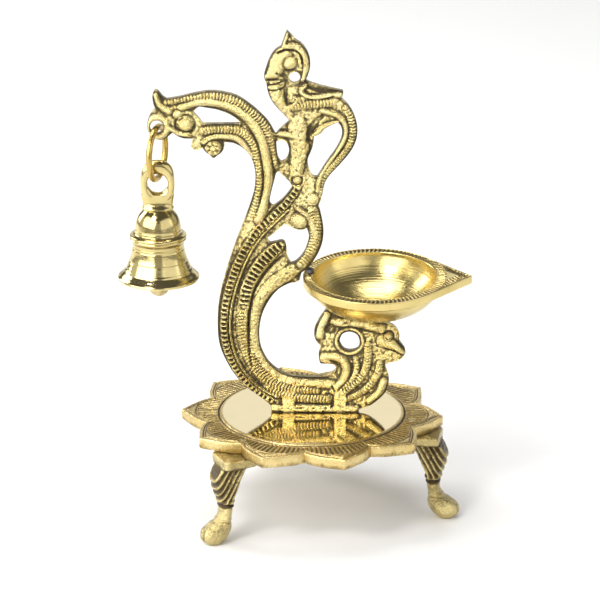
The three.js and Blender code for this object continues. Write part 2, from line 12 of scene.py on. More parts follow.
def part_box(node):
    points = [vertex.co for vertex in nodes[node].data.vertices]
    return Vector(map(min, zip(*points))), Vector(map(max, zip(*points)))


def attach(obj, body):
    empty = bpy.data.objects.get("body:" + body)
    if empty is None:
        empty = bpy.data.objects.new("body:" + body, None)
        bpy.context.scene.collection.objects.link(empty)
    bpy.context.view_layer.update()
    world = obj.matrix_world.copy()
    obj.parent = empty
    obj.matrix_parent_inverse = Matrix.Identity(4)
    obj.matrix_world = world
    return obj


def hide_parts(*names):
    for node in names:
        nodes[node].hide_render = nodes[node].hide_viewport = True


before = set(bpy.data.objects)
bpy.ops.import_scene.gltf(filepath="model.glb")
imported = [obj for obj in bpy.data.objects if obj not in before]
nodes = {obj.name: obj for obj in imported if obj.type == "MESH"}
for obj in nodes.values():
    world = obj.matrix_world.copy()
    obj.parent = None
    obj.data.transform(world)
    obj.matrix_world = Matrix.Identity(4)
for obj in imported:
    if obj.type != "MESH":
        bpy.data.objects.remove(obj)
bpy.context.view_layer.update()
rng = np.random.default_rng(11)
MM = 0.001


def box_mm(node):
    low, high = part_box(node)
    return np.array(low) / MM, np.array(high) / MM


# ---- Meshes from arrays, in millimetres ----

def make(name, points, faces, material, body, dirt_and_shade, sharp=50, hides=(), polish=None):
    """A piece with its dirt and painted shade, and its polish, at each point, from 0 to 1."""
    mesh = bpy.data.meshes.new(name)
    mesh.from_pydata((np.asarray(points) * MM).tolist(), [], [list(map(int, f)) for f in faces])
    mesh.validate()
    for key, values in (("dirt_and_shade", dirt_and_shade), ("polish", polish)):
        if values is not None:
            layer = mesh.attributes.new(key, "FLOAT", "POINT")
            layer.data.foreach_set("value", np.array(np.broadcast_to(values, (len(points),)), np.float32))
    mesh.polygons.foreach_set("use_smooth", np.ones(len(mesh.polygons), bool))
    if sharp:
        mesh.set_sharp_from_angle(angle=math.radians(sharp))
    mesh.materials.append(material)
    mesh.update()
    obj = bpy.data.objects.new(name, mesh)
    bpy.context.scene.collection.objects.link(obj)
    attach(obj, body)
    if hides:
        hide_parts(*hides)


def loft(rings, ends="flat"):
    """Closed rings of equal length, joined in order. Returns points and faces, capped at both ends."""
    rings = [np.asarray(r, float) for r in rings]
    count = len(rings[0])
    points = np.vstack(rings)
    faces = []
    for level in range(len(rings) - 1):
        a = level * count
        b = a + count
        for i in range(count):
            j = (i + 1) % count
            faces.append((a + i, a + j, b + j, b + i))
    if ends == "flat":
        points = np.vstack([points, rings[0].mean(0), rings[-1].mean(0)])
        low, high = len(points) - 2, len(points) - 1
        last = (len(rings) - 1) * count
        for i in range(count):
            j = (i + 1) % count
            faces.append((low, j, i))
            faces.append((high, last + i, last + j))
    elif ends == "loop":
        a = (len(rings) - 1) * count
        for i in range(count):
            j = (i + 1) % count
            faces.append((a + i, a + j, j, i))
    return points, faces


def unit(value):
    return np.clip(value, 0, 1)


def hump(value, middle, width):
    """A smooth bump of height 1 about a middle value."""
    return np.exp(-((value - middle) / width) ** 2)


def circle(count):
    turn = np.arange(count) * 2 * math.pi / count
    return np.cos(turn), np.sin(turn)


def lathe(profile, centre, count, ripple):
    """Profile of (radius, z) from the bottom up, round a vertical axis, with a ripple of its radius."""
    c, s = circle(count)
    rings = []
    for r, z in profile:
        far = r + ripple(np.arctan2(s, c), r, z)
        rings.append(np.stack([centre[0] + far * c, centre[1] + far * s, np.full(count, z, float)], 1))
    return loft(rings)


def smooth_profile(knots, steps=6):
    """Catmull-Rom through 2-D or 3-D knots; a knot that is listed twice stays a corner."""
    knots = np.asarray(knots, float)
    runs, start = [], 0
    for i in range(1, len(knots)):
        if np.allclose(knots[i], knots[i - 1]):
            runs.append(knots[start:i])
            start = i
    runs.append(knots[start:])
    out = []
    for run in runs:
        if len(run) < 3:
            out.extend(run)
            continue
        padded = np.vstack([2 * run[0] - run[1], run, 2 * run[-1] - run[-2]])
        for i in range(1, len(padded) - 2):
            p0, p1, p2, p3 = padded[i - 1:i + 3]
            for k in range(steps):
                t = k / steps
                out.append(0.5 * (2 * p1 + (p2 - p0) * t + (2 * p0 - 5 * p1 + 4 * p2 - p3) * t * t
                                  + (3 * p1 - p0 - 3 * p2 + p3) * t ** 3))
        out.append(run[-1])
    return np.array(out)


def sweep(path, radius, count=20, closed=False, wobble=0.0):
    """A round wire along a path of 3-D points."""
    path = np.asarray(path, float)
    size = len(path)
    tangents = np.roll(path, -1, 0) - np.roll(path, 1, 0) if closed else np.gradient(path, axis=0)
    tangents /= np.linalg.norm(tangents, axis=1, keepdims=True)
    normal = np.cross(tangents[0], (0.31, 0.77, 0.55))
    normal /= np.linalg.norm(normal)
    c, s = circle(count)
    rings = []
    plane = np.cross(path[size // 3] - path[0], path[2 * size // 3] - path[0]) if closed else None
    for i in range(size):
        t = tangents[i]
        if closed:
            side = plane / np.linalg.norm(plane)
            up = np.cross(side, t)
        else:
            normal = normal - t * normal.dot(t)
            normal /= np.linalg.norm(normal)
            side, up = normal, np.cross(t, normal)
        r = radius if np.isscalar(radius) else radius[i]
        r = r * (1 + wobble * rng.uniform(-1, 1, count))
        rings.append(path[i] + (np.outer(c * r, side) + np.outer(s * r, up)))
    return loft(rings, "loop" if closed else "flat")


def smooth_noise(shape, cell, seed):
    """Soft random hills over a grid, about -1 to 1."""
    local = np.random.default_rng(seed)
    rows, columns = int(shape[0] / cell) + 4, int(shape[1] / cell) + 4
    coarse = local.uniform(-1, 1, (rows, columns))
    y, x = np.arange(shape[0]) / cell + 1, np.arange(shape[1]) / cell + 1
    yi, xi = y.astype(int), x.astype(int)
    fy, fx = y - yi, x - xi
    fy, fx = (fy * fy * (3 - 2 * fy))[:, None], (fx * fx * (3 - 2 * fx))[None, :]
    a, b = coarse[np.ix_(yi, xi)], coarse[np.ix_(yi, xi + 1)]
    c, d = coarse[np.ix_(yi + 1, xi)], coarse[np.ix_(yi + 1, xi + 1)]
    return (a * (1 - fx) + b * fx) * (1 - fy) + (c * (1 - fx) + d * fx) * fy


# ---- Materials ----

def nodes_of(name):
    material = bpy.data.materials.new(name)
    material.use_nodes = True
    tree = material.node_tree
    tree.nodes.clear()
    out = tree.nodes.new("ShaderNodeOutputMaterial")
    shader = tree.nodes.new("ShaderNodeBsdfPrincipled")
    tree.links.new(shader.outputs[0], out.inputs[0])
    return material, tree, shader


def add(tree, kind, inputs=None, **settings):
    node = tree.nodes.new(kind)
    for key, value in settings.items():
        setattr(node, key, value)
    for key, value in (inputs or {}).items():
        if isinstance(value, bpy.types.NodeSocket):
            tree.links.new(value, node.inputs[key])
        else:
            node.inputs[key].default_value = value
    return node


def noise(tree, coords, scale, detail=4.0, roughness=0.55):
    return add(tree, "ShaderNodeTexNoise", {"Vector": coords, "Scale": scale, "Detail": detail,
                                            "Roughness": roughness}).outputs["Fac"]


def ramp(tree, value, low, high, to_low=0.0, to_high=1.0):
    return add(tree, "ShaderNodeMapRange", {"Value": value, "From Min": low, "From Max": high,
                                            "To Min": to_low, "To Max": to_high}).outputs[0]


def maths(tree, operation, a, b):
    return add(tree, "ShaderNodeMath", {0: a, 1: b}, operation=operation).outputs[0]


def blend_colour(tree, factor, a, b):
    node = add(tree, "ShaderNodeMix", {0: factor}, data_type="RGBA")
    for index, value in ((6, a), (7, b)):
        if isinstance(value, bpy.types.NodeSocket):
            tree.links.new(value, node.inputs[index])
        else:
            node.inputs[index].default_value = (*value, 1)
    return node.outputs[2]


def brass(name, light, deep, patina, rough, grain, worn, specks, rose=0.0,
          turned_about=None, turned_pitch=0.6, turned_strength=0.1):
    """Metal with dirt in its hollows and painted shade from its point attribute, uneven tone, small pits and
    fine scratches.
    """
    material, tree, shader = nodes_of(name)
    times, plus, minus = (partial(maths, tree, kind) for kind in ("MULTIPLY", "ADD", "SUBTRACT"))
    coords = add(tree, "ShaderNodeTexCoord").outputs["Object"]
    broad = noise(tree, coords, 55.0, 3.0)
    middle = noise(tree, coords, 260.0, 5.0)
    fine = noise(tree, coords, 1150.0, 5.0, 0.68)
    # The point attribute read here holds dirt in hollows, and on the stand painted shade as well.
    dirt_and_shade_in = add(tree, "ShaderNodeAttribute", attribute_name="dirt_and_shade").outputs["Fac"]
    polish = add(tree, "ShaderNodeAttribute", attribute_name="polish").outputs["Fac"]
    uneven = times(minus(middle, 0.5), 0.7)
    uneven = plus(uneven, times(minus(fine, 0.5), specks))
    uneven = times(uneven, minus(1.0, polish))
    darkness = plus(dirt_and_shade_in, uneven)
    darkness = plus(darkness, times(minus(broad, 0.5), worn))
    darkness = ramp(tree, darkness, 0.34, 0.86)
    tone = blend_colour(tree, ramp(tree, broad, 0.35, 0.68), light, deep)
    if rose:
        pink = ramp(tree, noise(tree, coords, 95.0, 2.0), 0.56, 0.7, 0.0, rose)
        tone = blend_colour(tree, pink, tone, (0.74, 0.36, 0.22))
    tone = blend_colour(tree, times(polish, 0.85), tone, (0.86, 0.74, 0.46))
    olive = tuple(0.5 * a + 0.5 * b for a, b in zip(deep, patina))
    colour = blend_colour(tree, ramp(tree, darkness, 0.0, 0.5), tone, olive)
    colour = blend_colour(tree, ramp(tree, darkness, 0.4, 1.0), colour, patina)
    roughness = ramp(tree, plus(middle, times(darkness, 0.5)), 0.35, 1.0, *rough)
    height = plus(times(fine, 0.6), times(middle, 0.9))
    roughness = times(roughness, ramp(tree, polish, 0.0, 1.0, 1.0, 0.22))
    strength = ramp(tree, polish, 0.0, 1.0, grain, 0.01)
    bump = add(tree, "ShaderNodeBump", {"Strength": strength, "Distance": 0.0018,
                                        "Height": height}).outputs[0]
    if turned_about is not None:
        spot = add(tree, "ShaderNodeVectorMath", {0: coords}, operation="SUBTRACT")
        spot.inputs[1].default_value = tuple(np.array([*turned_about, 0]) * MM)
        flat = add(tree, "ShaderNodeVectorMath", {0: spot.outputs[0]}, operation="MULTIPLY")
        flat.inputs[1].default_value = (1, 1, 0)
        radius = add(tree, "ShaderNodeVectorMath", {0: flat.outputs[0]}, operation="LENGTH").outputs["Value"]
        lines = add(tree, "ShaderNodeTexNoise", {"W": radius, "Scale": 1000.0 / turned_pitch, "Detail": 3.0},
                    noise_dimensions="1D").outputs["Fac"]
        bump = add(tree, "ShaderNodeBump", {"Strength": turned_strength, "Distance": 0.0003,
                                            "Height": lines, "Normal": bump}).outputs[0]
    tree.links.new(colour, shader.inputs["Base Color"])
    tree.links.new(roughness, shader.inputs["Roughness"])
    tree.links.new(ramp(tree, darkness, 0.0, 1.0, 1.0, 0.55), shader.inputs["Metallic"])
    tree.links.new(bump, shader.inputs["Normal"])
    return material


plate_low, plate_high = box_mm("base_plate")
stand_low, stand_high = box_mm("scroll_stand")
bowl_low, bowl_high = box_mm("oil_bowl")
bell_low, bell_high = box_mm("bell_body")
ring_low, ring_high = box_mm("bell_ring")

axis = np.array([stand_low[0] + 65.6, (stand_low[1] + stand_high[1]) / 2])
bell_axis = np.array([(bell_low[0] + bell_high[0]) / 2, axis[1]])
BOWL_RADIUS, BOWL_TIP, BOWL_INNER = 29.0, 39.2, 25.0
bowl_axis = np.array([bowl_low[0] + BOWL_RADIUS, axis[1]])

CAST = brass("cast brass", (0.86, 0.745, 0.37), (0.66, 0.54, 0.22), (0.06, 0.043, 0.017),
             (0.1, 0.3), 0.7, 0.5, 1.1, rose=0.18)
# A darker copy of the cast brass above: painted shade on the legs. The clapper ball and the CAD parts left
# showing use it too.
PAINTED_SHADE_CAST = brass("cast brass darker for painted shade", (0.64, 0.53, 0.25), (0.42, 0.33, 0.13), (0.07, 0.046, 0.017),
             (0.08, 0.26), 0.6, 0.8, 1.0)
PLATE = brass("plate brass", (0.74, 0.58, 0.27), (0.58, 0.43, 0.16), (0.1, 0.064, 0.02),
              (0.24, 0.4), 0.25, 0.4, 0.8, turned_about=axis, turned_pitch=0.9, turned_strength=0.03)
BOWL = brass("turned brass bowl", (0.76, 0.62, 0.27), (0.64, 0.5, 0.18), (0.09, 0.056, 0.018),
             (0.18, 0.32), 0.07, 0.3, 0.25, turned_about=bowl_axis, turned_pitch=0.45, turned_strength=0.34)
BELL = brass("turned brass bell", (0.68, 0.57, 0.27), (0.55, 0.44, 0.18), (0.09, 0.055, 0.016),
             (0.08, 0.22), 0.05, 0.3, 0.25, turned_about=bell_axis, turned_pitch=0.6, turned_strength=0.08)
WIRE = brass("wire brass", (0.6, 0.44, 0.14), (0.45, 0.31, 0.08), (0.14, 0.075, 0.02),
             (0.16, 0.34), 0.12, 0.4, 0.4)
STEEL = brass("steel", (0.5, 0.5, 0.51), (0.36, 0.36, 0.37), (0.1, 0.08, 0.07),
              (0.28, 0.5), 0.3, 0.6, 0.4)
SOLDER = brass("solder", (0.16, 0.155, 0.15), (0.08, 0.075, 0.07), (0.03, 0.028, 0.026),
               (0.35, 0.6), 0.5, 0.5, 0.5)


# ---- The scrolled stand ----

PITCH = 0.37
STAND_MIDDLE = axis[1]
GRID_RISE = (stand_high[2] - stand_low[2]) / 161.5


def to_world(u, v):
    return u + axis[0], stand_low[2] + v * GRID_RISE


def stand_loops():
    """The front face's outlines in the drawing grid's units."""
    mesh = nodes["scroll_stand"].data
    edges = {}
    points = np.array([v.co for v in mesh.vertices]) / MM
    keys = [(round(float(p[0]), 2), round(float(p[2]), 2)) for p in points]
    for face in mesh.polygons:
        if face.normal.y > -0.99 or face.center.y / MM > STAND_MIDDLE:
            continue
        ring = [keys[i] for i in face.vertices]
        for a, b in zip(ring, ring[1:] + ring[:1]):
            if a != b:
                edges[(a, b)] = edges.get((a, b), 0) + 1
    border = {}
    for a, b in edges:
        if (b, a) not in edges:
            border.setdefault(a, []).append(b)
    loops = []
    while border:
        start = next(iter(border))
        ring, here = [], start
        while here in border:
            ring.append(here)
            following = border[here].pop()
            if not border[here]:
                del border[here]
            here = following
        if len(ring) > 5:
            spots = np.array(ring)
            spots[:, 0] -= axis[0]
            spots[:, 1] = (spots[:, 1] - stand_low[2]) / GRID_RISE
            loops.append(spots)
    return loops


def rounded(loop, step=0.12, corner=38):
    """A loop's smooth curve, with its sharp corners kept."""
    before = loop - np.roll(loop, 1, 0)
    after = np.roll(loop, -1, 0) - loop
    cross = before[:, 0] * after[:, 1] - before[:, 1] * after[:, 0]
    sharp = np.abs(np.degrees(np.arctan2(cross, (before * after).sum(1)))) > corner
    count = len(loop)
    out = []
    for i in range(count):
        p1, p2 = loop[i], loop[(i + 1) % count]
        p0 = 2 * p1 - p2 if sharp[i] else loop[i - 1]
        p3 = 2 * p2 - p1 if sharp[(i + 1) % count] else loop[(i + 2) % count]
        length = np.linalg.norm(p2 - p1)
        n = max(1, int(length / step))
        m1 = (p2 - p0) * length / max(1e-6, np.linalg.norm(p1 - p0) + length)
        m2 = (p3 - p1) * length / max(1e-6, np.linalg.norm(p3 - p2) + length)
        t = (np.arange(n) / n)[:, None]
        out.append((2 * t ** 3 - 3 * t ** 2 + 1) * p1 + (t ** 3 - 2 * t ** 2 + t) * m1
                   + (3 * t ** 2 - 2 * t ** 3) * p2 + (t ** 3 - t ** 2) * m2)
    return np.vstack(out)


def inside_grid(loops, us, vs):
    """True where a grid point lies within the loops, by counting crossings along each row."""
    mask = np.zeros((len(vs), len(us)), bool)
    a = np.vstack(loops)
    b = np.vstack([np.roll(l, -1, 0) for l in loops])
    for row, v in enumerate(vs):
        hit = (a[:, 1] <= v) != (b[:, 1] <= v)
        cross = np.sort(a[hit, 0] + (v - a[hit, 1]) * (b[hit, 0] - a[hit, 0]) / (b[hit, 1] - a[hit, 1]))
        mask[row] = np.searchsorted(cross, us) % 2 == 1
    return mask


# Raised strokes on the stand: a kind, then (u, v, half-width) along its middle.
# Kinds: comb = cross ribs, smooth, ladder = square pits, rough = granular, groove = cut in.
STROKES = [
    ("comb", [(-58, 132, 1.2), (-50, 133.5, 1.4), (-42, 134.8, 1.6), (-35, 134.3, 1.7), (-28.5, 131.6, 1.9),
        (-23, 127.3, 2), (-18.7, 122, 2.1), (-16.6, 116, 1.7), (-15.2, 110, 1.2), (-14.4, 105, 1)]),
    ("smooth", [(-52, 130.2, 1.6), (-45, 132, 1.8), (-38, 131.8, 1.9), (-31, 129.5, 2), (-25.5, 125.5, 2.2),
        (-21.5, 120, 2.2), (-19.3, 114, 2.1), (-18, 107, 2.1), (-17.3, 100, 2), (-18, 94, 1.9),
        (-19.5, 88.5, 2), (-21.5, 83, 2)]),
    ("comb", [(-43.5, 120, 1.6), (-38, 120.8, 1.7), (-31, 120.6, 1.8), (-26.5, 118.6, 1.8), (-23.5, 114, 1.7),
        (-22, 108, 1.6), (-21.4, 102, 1.5), (-21.5, 96, 1.5), (-22.6, 90, 1.6), (-24.5, 84, 1.8)]),
    ("smooth", [(-43, 115.5, 1.3), (-40, 117.6, 1.2), (-35, 118, 1.3), (-30, 117, 1.4), (-26.5, 113.5, 1.4),
        (-24.5, 109, 1.3)]),
    ("ladder", [(-15, 4, 1.3), (-22, 8.5, 1.4), (-28, 14.5, 1.5), (-32.5, 22, 1.6), (-35, 30, 1.6),
        (-35.6, 38, 1.6), (-35, 46, 1.6), (-33.2, 54, 1.7), (-30.6, 62, 1.8), (-27.5, 69, 1.8),
        (-24, 75, 1.8), (-20, 80, 1.8), (-15.5, 84.5, 1.7), (-11, 89, 1.6), (-7.5, 93.5, 1.5),
        (-5.5, 96.5, 1.2)]),
    ("smooth", [(-14, 6.5, 0.5), (-21, 10.4, 0.5), (-26.5, 16.2, 0.5), (-30.4, 23, 0.5), (-32.6, 30.5, 0.5),
        (-33.2, 38, 0.5), (-32.6, 45.5, 0.5), (-30.9, 53.2, 0.5), (-28.4, 60.8, 0.5), (-25.4, 67.6, 0.5),
        (-22.2, 73.2, 0.5), (-18.4, 78, 0.5), (-14, 82.6, 0.5), (-9.5, 87.2, 0.5)]),
    ("comb", [(6, 5.2, 1.9), (-4, 6, 2), (-12, 8, 2.1), (-18, 11, 2)]),
    ("comb", [(2, 9.2, 1.6), (-9, 10.2, 2), (-17, 13.5, 2.6), (-23, 20, 2.7), (-26.8, 29, 2.7),
        (-28, 38, 2.7), (-27.5, 46, 2.6)]),
    ("ladder", [(-27.5, 46, 2.6), (-26, 54, 2.6), (-22.5, 61, 2.8), (-18.5, 66.5, 3), (-14.5, 70.5, 2.6),
        (-12.5, 72.5, 2)]),
    ("rough", [(8, 12, 1.9), (-3, 12.6, 1.9), (-10, 13.8, 2), (-16, 17.6, 2.1), (-20.5, 23.5, 2.2),
        (-22.8, 31, 2.2), (-23.2, 38, 2.2), (-22, 45, 2.3), (-19.5, 51, 2.6), (-15, 56, 3), (-9.5, 60, 3),
        (-4.5, 64, 2.8)]),
    ("comb", [(-4.5, 64, 2.8), (-1, 69, 2.6), (1.2, 75, 2.6), (1.3, 81, 2.6), (0.2, 87, 2.3)]),
    ("comb", [(13.5, 129.5, 1.6), (15.7, 125, 1.7), (16.2, 120, 1.7), (15.3, 115.5, 1.5), (12.8, 111, 1.4),
        (9.3, 106.6, 1.4), (6, 102.5, 1.3), (4.2, 98.5, 1), (3.5, 94, 0.8)]),
    ("smooth", [(4, 128.6, 1.3), (9, 127.3, 1.3), (12.5, 124, 1.2), (13.4, 120, 1.1), (12.4, 116, 1.1),
        (10, 111.8, 1), (7, 107.5, 1), (4.3, 103.5, 1), (2.8, 99.5, 1), (2.2, 95, 0.9)]),
    ("smooth", [(0, 117.5, 1.4), (5, 121, 2.2), (10, 123.5, 1)]),
    ("rough", [(-6, 123, 3.8), (-5.6, 118, 4), (-5, 113, 3.8), (-5.8, 107, 3), (-6.3, 102.5, 2.7)]),
    ("smooth", [(-14.5, 119.2, 1), (-10, 118.6, 1.3), (-6, 117.5, 1)]),
    ("rough", [(-9.5, 125.5, 2.6), (-11.8, 129.5, 3), (-14.2, 134, 2.8), (-15.2, 138, 2.6)]),
    ("comb", [(-9, 129.5, 1.5), (-6, 130.6, 1.9), (-2, 131.2, 1.9), (3, 131.6, 1.9), (8, 132, 1.7)]),
    ("comb", [(-8.4, 134, 1.6), (-6.5, 132.9, 1.5), (-3, 133.6, 1.2)]),
    ("smooth", [(-10.5, 151.8, 2.6), (-13.2, 149.4, 3.9), (-15, 146, 3.4), (-17.2, 143.4, 1.5)]),
    ("rough", [(-13.8, 154, 1.1), (-10.5, 155.4, 1.3), (-6.5, 155, 1.4), (-3.6, 152.2, 1.4),
        (-2.3, 148.5, 1.3), (-2.6, 144.8, 1.1), (-3.8, 141.5, 1)]),
    ("smooth", [(-2.7, 139, 0.8), (-4.4, 137, 1), (-3, 135.2, 1), (0, 134.3, 1), (4, 134.6, 1),
        (8, 135.5, 0.8)]),
    ("smooth", [(9.5, 135.4, 1.3), (12, 134.9, 1.2)]),
    ("smooth", [(-18.6, 142.6, 1.2), (-15.5, 143.8, 1.9), (-13.5, 144.5, 1.8)]),
    ("smooth", [(-11.8, 156.5, 1.3), (-10.6, 159.5, 1.2), (-10.2, 161, 0.6)]),
    ("smooth", [(8.3, 20, 1), (4.5, 23.5, 1.8), (8, 24, 1.8), (12, 22.7, 1.9), (14, 19, 1.8), (13, 14.5, 1.7),
        (10.5, 11.5, 1.6), (8.5, 9, 1.4)]),
    ("comb", [(17.8, 23, 1.3), (18.2, 19, 1.3), (17, 15, 1.3), (14.5, 11.8, 1.3), (11.5, 9, 1.2)]),
    ("comb", [(22.5, 29, 1.7), (22.7, 24, 1.7), (21.8, 19, 1.7), (19.5, 14.5, 1.6), (16, 11, 1.5),
        (12.5, 8, 1.3)]),
    ("comb", [(27.5, 21, 1.6), (27, 17.5, 1.6), (25, 13.5, 1.6), (22, 10, 1.5), (18, 7.2, 1.4),
        (14, 5.5, 1.2)]),
    ("smooth", [(29.3, 13, 1.8), (27.5, 8.5, 1.8), (23.5, 4.8, 1.6)]),
    ("smooth", [(3, 33, 1.8), (4, 38, 1.8), (6, 42, 1.5)]),
    ("smooth", [(29, 31, 3), (33.5, 28.5, 1.8), (37, 25.8, 1)]),
    ("rough", [(9, 39, 1.8), (18, 38.5, 1.8), (28, 36, 1.8)]),
    ("rough", [(-16, 1.5, 1.6), (0, 1.5, 1.7), (18, 1.2, 1.5)]),
    ("smooth", [(-62, 134.8, 1.1), (-60.5, 131, 1.3), (-57, 128.5, 1.6)]),
    ("smooth", [(-56.5, 121, 1.1), (-53, 119.2, 1.1), (-49, 118.4, 1.1)]),
    ("groove", [(-8.8, 95.4, 0.5), (-12.5, 91, 0.6), (-16.5, 86, 0.7), (-20.2, 81, 0.8), (-23.6, 76, 0.9),
        (-26, 70, 0.8)]),
    ("groove", [(-24.6, 20, 0.6), (-25.6, 29, 0.7), (-25.8, 38, 0.7), (-25, 46, 0.7), (-23, 53, 0.7),
        (-19, 60, 0.8), (-14, 65.5, 0.8), (-9.5, 68.5, 0.6)]),
    ("groove", [(-18.7, 141.3, 0.4), (-15, 141.4, 0.4), (-12, 141.3, 0.3)]),
    ("groove", [(-17.5, 139.2, 0.4), (-13.5, 140, 0.4), (-10.5, 141.5, 0.4)]),
    ("groove", [(-17.5, 137, 0.5), (-13, 137.6, 0.5), (-9, 138.5, 0.5), (-5, 139.5, 0.4)]),
    ("groove", [(-10, 141, 1.2), (-10.4, 137.5, 1.1), (-10.6, 134, 0.9), (-10, 131, 0.6)]),
    ("groove", [(-13.6, 152.6, 0.5), (-10.4, 153.7, 0.6), (-6.6, 153.3, 0.6), (-4.4, 151, 0.6),
        (-3.9, 148, 0.5)]),
    ("groove", [(-14, 144.2, 0.9), (-11.6, 143.2, 1.2), (-10, 141.8, 1.1)]),
    ("groove", [(-1.5, 138.4, 0.9), (2, 137.3, 1.2), (6, 136.9, 1.2), (9.5, 136.6, 0.8)]),
    ("groove", [(-1.6, 116.5, 1.2), (-0.6, 120, 1.9), (1.6, 124, 1.7), (4, 126.2, 1)]),
    ("groove", [(8, 11.5, 0.5), (10.5, 6, 0.5), (7.8, 2, 0.5)]),
    ("groove", [(29.5, 27.5, 0.4), (33.5, 26.5, 0.4), (37, 24.2, 0.3)]),
    ("smooth", [(-5.6, 87.5, 1), (-2.2, 84.5, 1.3), (0.2, 80, 1.5), (1.6, 75.5, 1.3)]),
    ("groove", [(-50.5 + r * math.cos(2 * r - 1.2), 122.8 + r * math.sin(2 * r - 1.2), 0.42)
                for r in np.linspace(0.6, 3.8, 9)]),
]
# Domes: (u, v, radius, rise); a negative rise is a hollow.
DOMES = [(-39.5, 113, 3.6, 1), (-50.5, 122.8, 2.9, 1), (-9, 148.4, 3, 0.8), (-6, 99.6, 1.9, 1),
         (0.3, 91, 2.6, 0.8), (-4.8, 82, 3.4, 0.7), (31, 33, 1.5, 1), (7.5, 36, 2.6, -0.8),
         (-53.4, 127, 2.2, 0.8)]
DOMES += [(-39.5 + 2.2 * math.cos(k * 1.05), 113 + 2.2 * math.sin(k * 1.05), 1.25, 1) for k in range(6)]
# Rings: (u, v, radius, half-width, rise).
RINGS = [(-50.5, 122.8, 4, 0.5, -0.6), (-9, 148.4, 3.7, 0.9, -0.16), (-6, 99.6, 2.9, 0.5, 0.5),
         (0.3, 91, 1.5, 0.4, -0.4), (15.2, 30.6, 5.3, 0.7, 0.9), (-4.8, 82, 4.2, 0.5, -0.3),
         (31, 33, 2.1, 0.4, -0.6)]
# Darker places, partly soot round the hole under the bowl and partly painted shade: a shadow under the bird's
# eye, and shade over the bird and the lower stand, which lie away from the main light: (u, v, reach along u,
# reach along v, amount).
SOOT_AND_PAINTED_SHADE = [(-9, 140, 10, 9, 0.12), (20, 20, 18, 14, 0.13), (13, 38, 13, 6, 0.4), (11, 30, 6, 6, 0.2),
         (-3.5, 60, 4, 4, 0.3), (-1, 120, 3, 5, 0.3), (4, 137.4, 7, 1.6, 0.35), (-11.5, 141.5, 2.5, 3, 0.35),
         (-10, 93, 6, 4, 0.2), (0, 3, 20, 3, 0.1), (16, 118, 2.5, 10, 0.2)]
# Half-thicknesses: the stand's ground, highest crest, thinnest place and the land round the ring hole.
BASE_HALF, CREST_HALF, THINNEST, LAND_HALF = 1.55, 3.08, 0.9, 2.45
COMB_PITCH, LADDER_PITCH = 1.3, 2.0
SNOUT_HOLE = (-61.8, 121.6)
SCREW_PLACES = (-9.5, 11.5)


def along(points, knots):
    """Nearest place on a stroke: distance, half-width and length from its start."""
    curve = smooth_profile(knots, 4)
    a, b = curve[:-1, :2], curve[1:, :2]
    span = b - a
    length = np.linalg.norm(span, axis=1)
    start = np.concatenate([[0], np.cumsum(length)[:-1]])
    best = np.full(len(points), 1e9)
    width = np.ones(len(points))
    run = np.zeros(len(points))
    for i in range(len(a)):
        if length[i] < 1e-6:
            continue
        off = points - a[i]
        t = unit((off @ span[i]) / length[i] ** 2)
        gap = np.hypot(*(off - t[:, None] * span[i]).T)
        nearer = gap < best
        best[nearer] = gap[nearer]
        width[nearer] = (curve[i, 2] + t * (curve[i + 1, 2] - curve[i, 2]))[nearer]
        run[nearer] = (start[i] + t * length[i])[nearer]
    return best, width, run


def relief(points, grain):
    """Half-thickness of the stand at grid points."""
    half = np.full(len(points), BASE_HALF) + 0.12 * grain
    rise = CREST_HALF - BASE_HALF
    for kind, knots in STROKES:
        knots = np.array(knots, float)
        low, high = knots[:, :2].min(0) - 4, knots[:, :2].max(0) + 4
        near = np.flatnonzero(((points > low) & (points < high)).all(1))
        gap, width, run = along(points[near], knots)
        share = gap / width
        dome = unit(1 - share ** 2) ** 0.68
        hit = share < 1
        if kind == "groove":
            half[near] -= 0.95 * unit(1 - share ** 2)
            continue
        top = np.full(len(near), 1.0)
        if kind == "comb":
            wave = 0.5 - 0.5 * np.cos(2 * math.pi * (run + 0.3 * gap) / COMB_PITCH)
            top -= 0.62 * wave
        elif kind == "ladder":
            pit = (share < 0.66) & ((run / LADDER_PITCH) % 1 < 0.52)
            top -= 0.78 * pit
            dome = unit(dome * 1.25)
        elif kind == "rough":
            top += 0.3 * grain[near] - 0.12
        value = BASE_HALF + rise * dome * top
        half[near] = np.where(hit, np.maximum(half[near], value), half[near])
        if kind in ("comb", "ladder"):
            cap = BASE_HALF + rise * np.maximum(top, 0.1)
            half[near] = np.where(hit, np.minimum(half[near], cap), half[near])
    for u, v, radius, amount in DOMES:
        gap = np.hypot(points[:, 0] - u, points[:, 1] - v) / radius
        dome = np.sqrt(unit(1 - gap ** 2))
        if amount > 0:
            changed = np.maximum(half - 0.6, BASE_HALF - 0.5 + (rise + 0.5) * dome * amount)
        else:
            changed = np.minimum(half, BASE_HALF + amount * dome)
        half = np.where(gap < 1, changed, half)
    for u, v, radius, width, amount in RINGS:
        gap = np.abs(np.hypot(points[:, 0] - u, points[:, 1] - v) - radius) / width
        bump = np.sqrt(unit(1 - gap ** 2))
        half = half + amount * bump * (0.9 if amount < 0 else 1)
    return np.clip(half, THINNEST, CREST_HALF)


def blurred(grid, mask, reach):
    """Mean of a grid over a square window, counting only where the mask is set."""
    def window(a):
        for _ in range(2):
            total = np.cumsum(np.pad(a, ((reach + 1, reach), (0, 0)), mode="edge"), axis=0)
            a = (total[2 * reach + 1:] - total[:-2 * reach - 1]).T
        return a
    return window(grid * mask) / np.maximum(window(mask.astype(float)), 1e-6)


